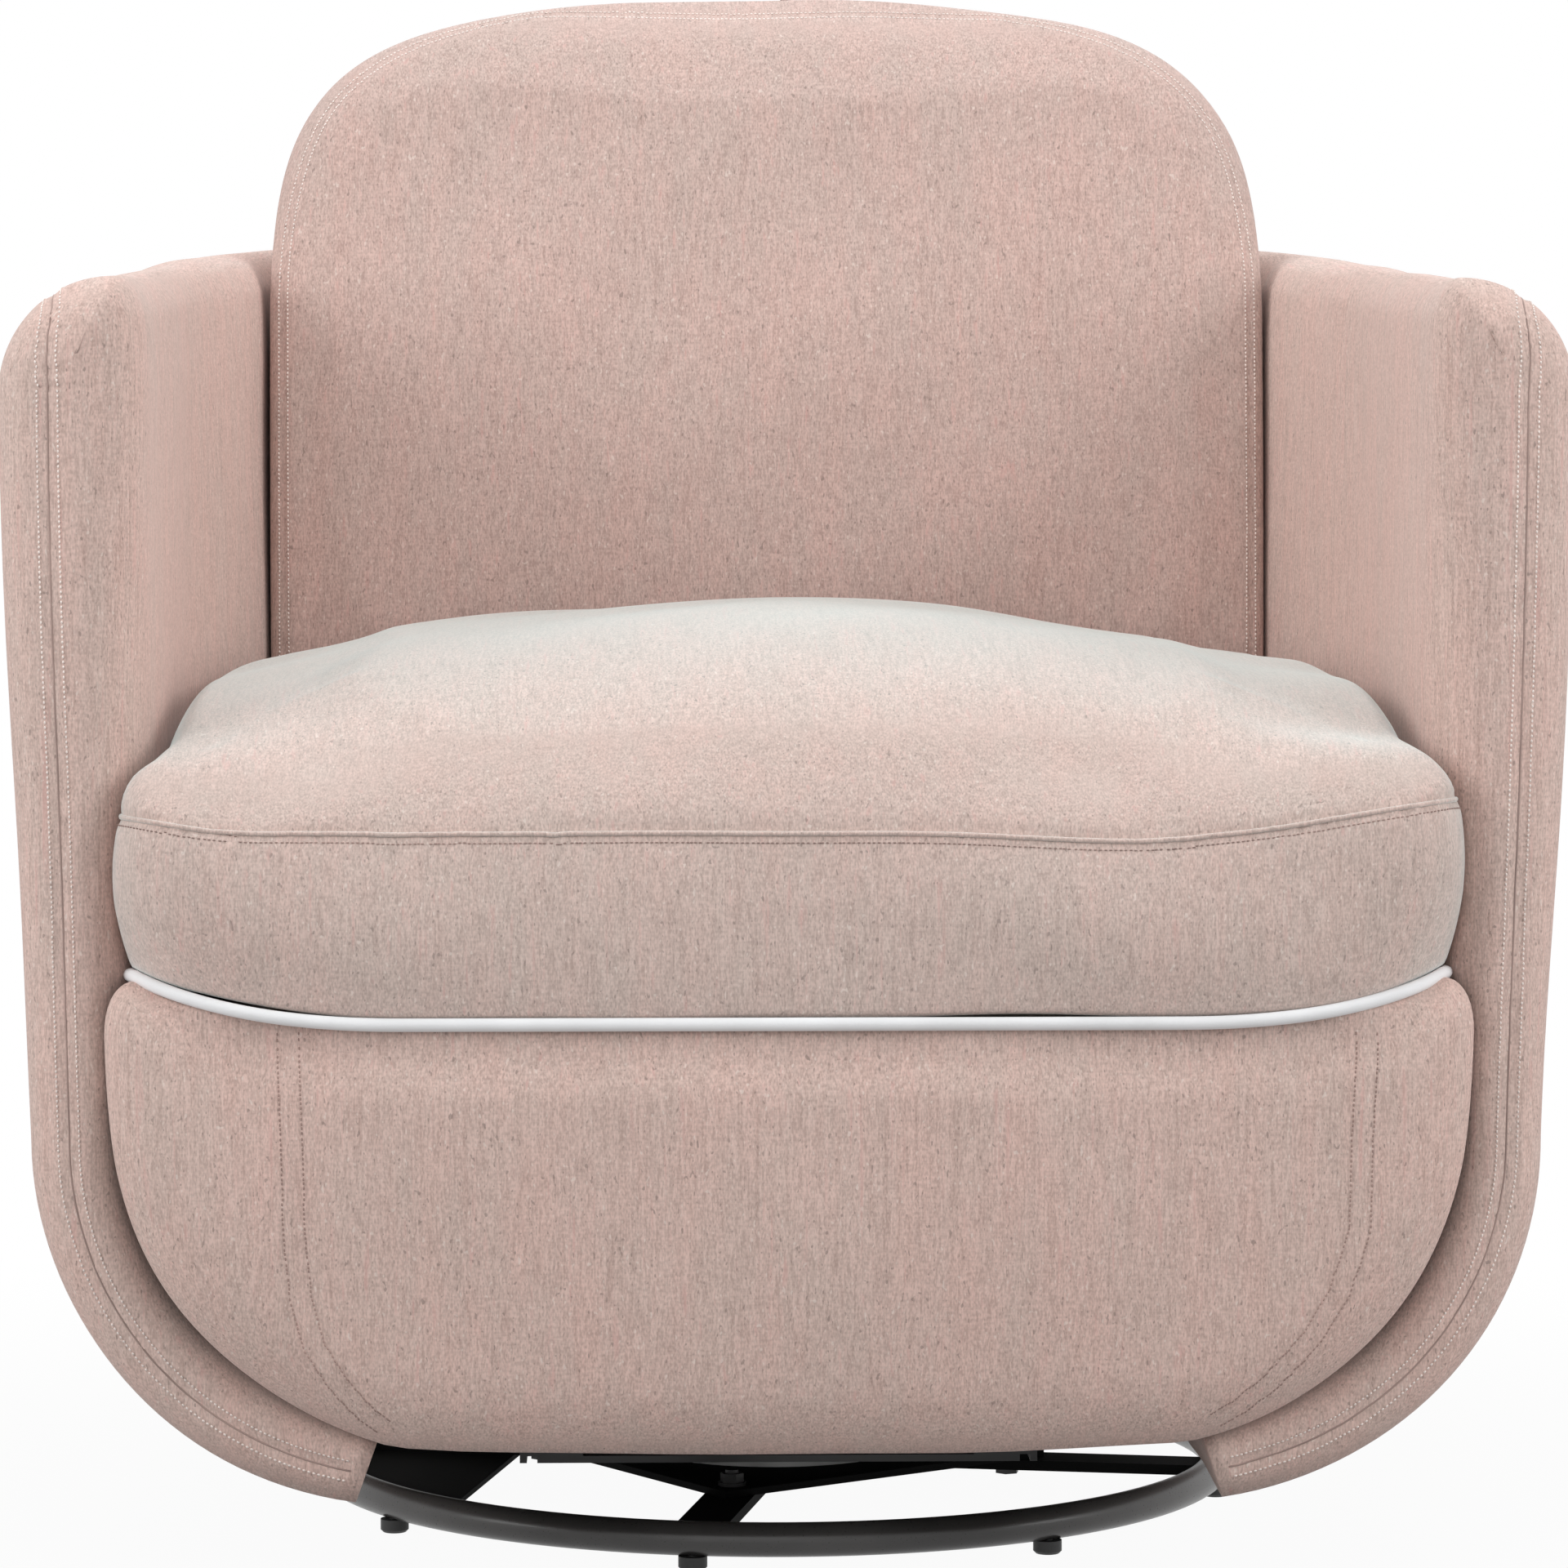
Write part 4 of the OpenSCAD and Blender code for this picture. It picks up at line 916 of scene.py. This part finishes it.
class Tree:
    """A material's nodes, with short calls for those that many use."""

    def __init__(self, name):
        self.mat = bpy.data.materials.new(name)
        self.mat.use_nodes = True
        self.t = self.mat.node_tree
        self.t.nodes.clear()
        self.out = self.t.nodes.new("ShaderNodeOutputMaterial")
        self.bsdf = self.t.nodes.new("ShaderNodeBsdfPrincipled")
        self.link(self.bsdf.outputs[0], self.out.inputs["Surface"])

    def node(self, kind, **settings):
        n = self.t.nodes.new(kind)
        for k, v in settings.items():
            setattr(n, k, v)
        return n

    def link(self, a, b):
        self.t.links.new(a, b)

    def feed(self, sock, v):
        """Links another node's output, or sets a number or a colour."""
        if hasattr(v, "links"):
            self.link(v, sock)
        elif isinstance(v, (int, float)):
            sock.default_value = v
        else:
            sock.default_value = (*v, 1)

    def mapped(self, vec, scale):
        m = self.node("ShaderNodeMapping")
        m.inputs["Scale"].default_value = scale
        self.link(vec, m.inputs["Vector"])
        return m.outputs["Vector"]

    def noise(self, vec, scale, detail, rough):
        n = self.node("ShaderNodeTexNoise")
        n.inputs["Scale"].default_value = scale
        n.inputs["Detail"].default_value = detail
        n.inputs["Roughness"].default_value = rough
        self.link(vec, n.inputs["Vector"])
        return n.outputs["Fac"]

    def ramp(self, fac, stops):
        n = self.node("ShaderNodeValToRGB")
        els = n.color_ramp.elements
        while len(els) < len(stops):
            els.new(0.5)
        for e, (p, c) in zip(els, stops):
            e.position = p
            e.color = (*c, 1)
        self.link(fac, n.inputs["Fac"])
        return n.outputs["Color"]

    def mix(self, fac, a, b, blend="MIX"):
        n = self.node("ShaderNodeMix", data_type="RGBA", blend_type=blend)
        for sock, v in ((n.inputs[0], fac), (n.inputs[6], a), (n.inputs[7], b)):
            self.feed(sock, v)
        return n.outputs[2]

    def math(self, op, a, b=0.0):
        n = self.node("ShaderNodeMath", operation=op)
        for sock, v in ((n.inputs[0], a), (n.inputs[1], b)):
            self.feed(sock, v)
        return n.outputs[0]

    def lerp(self, fac, a, b):
        n = self.node("ShaderNodeMix", data_type="FLOAT")
        for sock, v in ((n.inputs[0], fac), (n.inputs[2], a), (n.inputs[3], b)):
            self.link(v, sock)
        return n.outputs[0]

    def spread(self, vec, low, high):
        """Maps 0 to 1 onto low to high."""
        n = self.node("ShaderNodeMapRange")
        n.inputs["To Min"].default_value = low
        n.inputs["To Max"].default_value = high
        self.link(vec, n.inputs["Value"])
        return n.outputs[0]

    def bump(self, height, strength, distance):
        n = self.node("ShaderNodeBump")
        n.inputs["Strength"].default_value = strength
        n.inputs["Distance"].default_value = distance
        self.link(height, n.inputs["Height"])
        self.link(n.outputs["Normal"], self.bsdf.inputs["Normal"])


# Linear colours of the cloth: its streaks, the red slubs, and the dark and pale flecks
PINK = (0.625, 0.445, 0.392)
ROSE = (0.595, 0.440, 0.390)
GREY = (0.580, 0.444, 0.393)
RED_THREAD = (0.600, 0.350, 0.315)
DARK_FLECK = (0.22, 0.17, 0.15)
PALE_FLECK = (0.80, 0.71, 0.65)


def grey(v):
    return (v, v, v)


def linen(name, sheen=0.12, painted_light_tint=(1, 1, 1), sheen_tint=(1, 1, 1)):
    """Heathered linen weave. Its threads run up and across on upright faces, and to the front and across on
    flat ones, with slubs, dark and pale flecks, and soft streaks between pinker and greyer cloth."""
    T = Tree(name)
    coord = T.node("ShaderNodeTexCoord")
    co = coord.outputs["Object"]
    split = T.node("ShaderNodeSeparateXYZ")
    T.link(coord.outputs["Normal"], split.inputs[0])
    flat = T.node("ShaderNodeMapRange", interpolation_type="SMOOTHSTEP")
    flat.inputs["From Min"].default_value = 0.52
    flat.inputs["From Max"].default_value = 0.86
    T.link(T.math("ABSOLUTE", split.outputs["Z"]), flat.inputs["Value"])
    flat = flat.outputs[0]

    def threads(upright, lying, scale, detail, rough):
        a = T.noise(T.mapped(co, upright), scale, detail, rough)
        b = T.noise(T.mapped(co, lying), scale, detail, rough)
        return T.lerp(flat, a, b)

    dots = threads((1, 1, 0.42), (1, 0.42, 0.6), 1150, 0.5, 0.5)
    warp = threads((1, 1, 0.10), (1, 0.10, 0.4), 760, 1.5, 0.5)
    weft = threads((0.16, 0.16, 1), (0.16, 1, 0.4), 900, 1.0, 0.5)
    slub = threads((1, 1, 0.04), (1, 0.04, 0.3), 300, 3, 0.6)
    streak = threads((1, 1, 0.16), (1, 0.16, 0.5), 60, 3, 0.6)
    patch = T.noise(T.mapped(co, (1, 1, 0.5)), 11, 3, 0.55)
    fleck = threads((1, 1, 0.5), (1, 0.5, 0.5), 620, 0.5, 0.5)

    tone = T.ramp(streak, [(0.38, PINK), (0.50, ROSE), (0.62, GREY)])
    wide = T.ramp(patch, [(0.36, PINK), (0.64, GREY)])
    # The tint over the whole colour is painted light: paler for the seat's lit top and darker for the shaded
    # tall back.
    col = T.mix(1.0, T.mix(0.40, tone, wide), painted_light_tint, "MULTIPLY")
    weave = T.math("ADD", T.math("MULTIPLY", dots, 0.44),
                   T.math("ADD", T.math("MULTIPLY", warp, 0.40), T.math("MULTIPLY", weft, 0.16)))
    shade = T.ramp(weave, [(0.38, (0.83, 0.82, 0.815)), (0.50, grey(1.0)), (0.62, (1.17, 1.175, 1.18))])
    col = T.mix(1.0, col, shade, "MULTIPLY")
    shade = T.ramp(slub, [(0.28, (0.90, 0.885, 0.88)), (0.45, grey(0.99)), (0.72, (1.05, 1.055, 1.06))])
    col = T.mix(1.0, col, shade, "MULTIPLY")
    col = T.mix(T.ramp(slub, [(0.60, grey(0.0)), (0.72, grey(0.5))]), col, RED_THREAD)
    col = T.mix(T.ramp(fleck, [(0.24, grey(0.55)), (0.30, grey(0.0))]), col, DARK_FLECK)
    col = T.mix(T.ramp(fleck, [(0.70, grey(0.0)), (0.76, grey(0.45))]), col, PALE_FLECK)
    T.link(col, T.bsdf.inputs["Base Color"])
    T.link(T.spread(weave, 0.82, 0.96), T.bsdf.inputs["Roughness"])
    T.bsdf.inputs["Sheen Weight"].default_value = sheen
    T.bsdf.inputs["Sheen Roughness"].default_value = 0.5
    T.bsdf.inputs["Sheen Tint"].default_value = (*sheen_tint, 1)
    T.bsdf.inputs["Specular IOR Level"].default_value = 0.2
    T.bump(T.math("ADD", weave, T.math("MULTIPLY", slub, 0.5)), 0.45, 0.0004)
    return T.mat


def plain(name, color, rough=0.5, metallic=0.0, scale=160, amount=0.12, bump=0.1, dist=0.0003, spec=0.5):
    """One colour that varies slowly by an amount, with fine noise in its roughness and height."""
    T = Tree(name)
    co = T.node("ShaderNodeTexCoord").outputs["Object"]
    fine = T.noise(co, scale, 3, 0.55)
    slow = T.noise(co, 14, 3, 0.6)
    dark = tuple(c * (1 - amount) for c in color)
    light = tuple(min(1, c * (1 + amount)) for c in color)
    T.link(T.ramp(slow, [(0.35, dark), (0.65, light)]), T.bsdf.inputs["Base Color"])
    T.link(T.spread(fine, max(0.05, rough - 0.08), min(1, rough + 0.08)), T.bsdf.inputs["Roughness"])
    T.bsdf.inputs["Metallic"].default_value = metallic
    T.bsdf.inputs["Specular IOR Level"].default_value = spec
    T.bump(fine, bump, dist)
    return T.mat


def wood(name, a, b, ring=26):
    """Grain drawn out along y, between two tones."""
    T = Tree(name)
    co = T.mapped(T.node("ShaderNodeTexCoord").outputs["Object"], (1, 0.08, 1))
    grain = T.noise(co, ring * 8, 4, 0.6)
    broad = T.noise(co, ring, 3, 0.5)
    col = T.mix(0.5, T.ramp(grain, [(0.3, a), (0.7, b)]), T.ramp(broad, [(0.3, a), (0.7, b)]))
    T.link(col, T.bsdf.inputs["Base Color"])
    T.bsdf.inputs["Roughness"].default_value = 0.65
    T.bump(grain, 0.3, 0.0004)
    return T.mat


cloth = linen("linen_weave")
# The seat cushion and its welt use the same linen under a paler, cooler tint: painted light, standing in for
# the bright overhead light on the seat's top.
seat_cloth_painted_light = linen("seat_weave_painted_light", 0.90, (0.945, 0.975, 0.98), (0.82, 1.0, 1.0))
# The tall back uses the same linen darkened by a tint: painted shade, standing in for the back's duller light.
back_cloth_painted_shade = linen("back_weave_painted_shade", painted_light_tint=(0.91, 0.915, 0.925))
thread = plain("thread", (0.83, 0.74, 0.69), 0.8, scale=1500, amount=0.1, bump=0.3, dist=0.0002)
dark_thread = plain("dark_thread", (0.33, 0.23, 0.20), 0.85, scale=1500, amount=0.2, bump=0.3, dist=0.0002)
seam_shadow = plain("seam_shadow", (0.36, 0.26, 0.23), 0.9, scale=900, amount=0.2, bump=0.3)
white_cord = plain("white_cord", (0.78, 0.78, 0.79), 0.75, scale=900, amount=0.05, bump=0.35)
# The ring's satin black is lightened to a dark grey. This is partly its own colour and partly painted
# highlight, standing in for the broad grey sheen on its upper front.
black_and_painted_highlight = plain("satin_black_and_painted_highlight", (0.070, 0.067, 0.065), 0.30, scale=700, amount=0.2, bump=0.08)
matt_black = plain("matt_black", (0.004, 0.004, 0.004), 0.85, scale=700, amount=0.2, bump=0.08, spec=0.12)
dark_steel = plain("dark_steel", (0.035, 0.034, 0.034), 0.45, scale=500, amount=0.2, bump=0.1)
zinc = plain("zinc_plate", (0.58, 0.58, 0.57), 0.34, 1.0, scale=300, amount=0.08, bump=0.06)
fastener = plain("black_oxide", (0.03, 0.03, 0.03), 0.42, 0.4, scale=400)
nylon = plain("nylon", (0.74, 0.70, 0.60), 0.5, scale=300)
rubber = plain("glide_plastic", (0.016, 0.016, 0.016), 0.55, scale=500)
hardwood = wood("hardwood", (0.36, 0.22, 0.11), (0.55, 0.38, 0.22))
plywood = wood("plywood", (0.50, 0.36, 0.20), (0.66, 0.52, 0.34), 18)
lining = plain("lining", (0.012, 0.012, 0.012), 0.9, scale=1200, amount=0.3, bump=0.5)
felt = plain("felt", (0.60, 0.58, 0.54), 0.95, scale=500, amount=0.12, bump=0.6)
springs = plain("spring_steel", (0.10, 0.10, 0.10), 0.4, 0.8, scale=300)

looks = [
    (black_and_painted_highlight, ["base_ring"]),
    (matt_black, ["cross_bars", "segment_plate", "base_plate"]),
    (fastener, ["plate_bolts", "plate_nuts"]),
    (rubber, ["floor_glides"]),
    (zinc, ["lower_race", "upper_race", "race_balls", "king_pin", "king_nut", "tube_bolts", "upper_pins",
            "front_lower_pins", "rear_lower_pins", "rail_screws", "spring_clips"]),
    (dark_steel, ["swivel_plate", "side_plate_left", "side_plate_right", "cross_tubes", "front_hangers",
                  "rear_hangers", "glide_rail_left", "glide_rail_right"]),
    (nylon, ["front_bushes", "rear_bushes"]),
    (hardwood, ["front_cross_rail", "rear_cross_rail", "side_rail_left", "side_rail_right", "back_rail",
                "corner_blocks", "shell_blocks"]),
    (plywood, ["front_board", "back_board"]),
    (springs, ["seat_springs"]),
    (felt, ["seat_deck"]),
    (lining, ["dust_cover"]),
    (cloth, ["shell", "front_panel", "back_cushion", "outside_back"]),
    (seat_cloth_painted_light, ["seat_cushion"]),
    (white_cord, ["piping"]),
]
for mat, names in looks:
    for name in names:
        nodes[name].data.materials.clear()
        nodes[name].data.materials.append(mat)


def dress(ob, mat, slot, *stands_for, body="chair", pad=None):
    """Gives a piece its material and body, and hides the nodes that it replaces. The slot and pad are not
    used.
    """
    ob.data.materials.clear()
    ob.data.materials.append(mat)
    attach(ob, body)
    if stands_for:
        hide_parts(*stands_for)


# ---- Pieces ----

barrel = make_shell()
unevenness(barrel, 0.0006, 0.16, 3)
rim = rim_seam()
barrel_seams = [rim, side_seam(-SIDE_SEAM_S), side_seam(SIDE_SEAM_S)]
sew(barrel, barrel_seams, depth=0.0014, width=0.0042, pucker=0.00035, wave=0.015)
dress(barrel, cloth, "linen_fabric", "shell", pad=0.8)
dress(seam_line("barrel_seam_lines", barrel, barrel_seams), seam_shadow, "linen_fabric")
dress(stitch_line("barrel_topstitch", barrel, [rim]), thread, "linen_fabric")

panel = make_front_panel()
unevenness(panel, 0.0011, 0.15, 5)
curves = panel_seams()
sew(panel, curves, depth=0.0010, width=0.0050, pucker=0.0004, wave=0.014)
dress(panel, cloth, "linen_fabric", "front_panel", pad=0.8)
dress(stitch_line("panel_topstitch", panel, curves, r=0.0004), dark_thread, "linen_fabric")

seat, seat_edge = make_seat()
inflate(seat, seat_held)
subdivide(seat)
unevenness(seat, 0.0012, 0.14, 9, away_from_sides(0.335))
sew(seat, [seat_edge], depth=0.0012, width=0.0040, pucker=0.0007, wave=0.017, reach=0.014)
dress(seat, seat_cloth_painted_light, "seat_fabric", "seat_cushion", pad=0.75)
dress(make_welt(seat, seat_edge), seat_cloth_painted_light, "seat_fabric")
dress(stitch_line("seat_topstitch", seat, [seat_edge], (-0.0050,), 0.0004), dark_thread, "seat_fabric")

back = make_back()
inflate(back, back_held)
subdivide(back)
unevenness(back, 0.0012, 0.18, 14, away_from_sides(0.30))
edging = back_seam()
sew(back, [edging], depth=0.0009, width=0.0040, pucker=0.0003, wave=0.016)
dress(back, back_cloth_painted_shade, "linen_fabric", "back_cushion", pad=0.7)
dress(stitch_line("back_topstitch", back, [edging], (-0.003, 0.003)), thread, "linen_fabric")

dress(make_outside_back(), cloth, "linen_fabric", "outside_back", pad=0.8)
dress(make_piping(), white_cord, "white_cord", "piping")

# ---- Camera, light and floor ----

CAMERA_AZIMUTH = math.radians(-1.5)
CAMERA_PITCH = math.radians(3.1)
CAMERA_DISTANCE = 3.168
CAMERA_HEIGHT = 0.589
CAMERA_SHIFT = 0.0065  # sideways
LAMP_TARGET = (0, 0, 0.45)

scene = bpy.context.scene
scene.view_settings.view_transform = "Standard"

cam_data = bpy.data.cameras.new("camera")
cam = bpy.data.objects.new("camera", cam_data)
scene.collection.objects.link(cam)
cam_data.sensor_width = 36
cam_data.lens = 122.775
cam.location = (CAMERA_DISTANCE * math.sin(CAMERA_AZIMUTH) + CAMERA_SHIFT,
                -CAMERA_DISTANCE * math.cos(CAMERA_AZIMUTH), CAMERA_HEIGHT)
cam.rotation_euler = (math.pi / 2 - CAMERA_PITCH, 0, CAMERA_AZIMUTH)
scene.camera = cam


def lamp(name, loc, size, power, color=(1, 1, 1)):
    d = bpy.data.lights.new(name, "AREA")
    d.shape = "RECTANGLE"
    d.size, d.size_y = size
    d.energy = power
    d.color = color
    o = bpy.data.objects.new(name, d)
    o.location = loc
    o.rotation_euler = (Vector(LAMP_TARGET) - Vector(loc)).to_track_quat("-Z", "Y").to_euler()
    scene.collection.objects.link(o)


lamp("key", (-0.7, -3.6, 1.6), (2.6, 2.2), 12.5)
lamp("overhead", (0, -0.1, 2.7), (2.2, 1.8), 30, color=(0.95, 1.0, 1.02))
lamp("left", (-2.6, -1.5, 1.6), (1.6, 1.8), 46)
lamp("right", (2.6, -1.5, 1.6), (1.6, 1.8), 46)
lamp("back", (0.2, 2.6, 1.8), (2.0, 1.6), 16)


def meets_backdrop(tree):
    """1 for rays from the camera, off gloss and through glass, which see the backdrop's plain white."""
    path = tree.nodes.new("ShaderNodeLightPath")
    seen = path.outputs["Is Camera Ray"]
    for kind in ("Is Glossy Ray", "Is Transmission Ray"):
        either = tree.nodes.new("ShaderNodeMath")
        either.operation = "MAXIMUM"
        tree.links.new(seen, either.inputs[0])
        tree.links.new(path.outputs[kind], either.inputs[1])
        seen = either.outputs[0]
    return seen


def mix_shaders(tree, fac, a, b, out):
    blend = tree.nodes.new("ShaderNodeMixShader")
    for sock, source in zip(blend.inputs, (fac, a, b)):
        tree.links.new(source, sock)
    tree.links.new(blend.outputs[0], out.inputs["Surface"])


def background(tree, strength):
    n = tree.nodes.new("ShaderNodeBackground")
    n.inputs["Color"].default_value = (1, 1, 1, 1)
    n.inputs["Strength"].default_value = strength
    return n.outputs[0]


world = bpy.data.worlds.new("studio")
scene.world = world
world.use_nodes = True
sky = world.node_tree
sky.nodes.clear()
mix_shaders(sky, meets_backdrop(sky), background(sky, 0.42), background(sky, 1.0),
            sky.nodes.new("ShaderNodeOutputWorld"))

# The floor shows the backdrop's white to the camera and to reflections, with a soft shadow near the chair.
ground = Tree("floor")
ground.bsdf.inputs["Base Color"].default_value = (0.36, 0.36, 0.36, 1)
ground.bsdf.inputs["Roughness"].default_value = 0.8
glow = ground.node("ShaderNodeEmission")
glow.inputs["Strength"].default_value = 1.0
away = ground.node("ShaderNodeVectorMath", operation="LENGTH")
ground.link(ground.node("ShaderNodeTexCoord").outputs["Object"], away.inputs[0])
fade = ground.node("ShaderNodeMapRange", interpolation_type="SMOOTHSTEP")
fade.inputs["From Min"].default_value = 0.35
fade.inputs["From Max"].default_value = 1.1
fade.inputs["To Min"].default_value = 0.95
fade.inputs["To Max"].default_value = 1.0
ground.link(away.outputs["Value"], fade.inputs["Value"])
mix_shaders(ground.t, ground.math("MULTIPLY", meets_backdrop(ground.t), fade.outputs[0]),
            ground.bsdf.outputs[0], glow.outputs[0], ground.out)
bpy.ops.mesh.primitive_plane_add(size=14, location=(0, 0, 0))
floor = bpy.context.object
floor.name = "floor"
floor.data.materials.append(ground.mat)
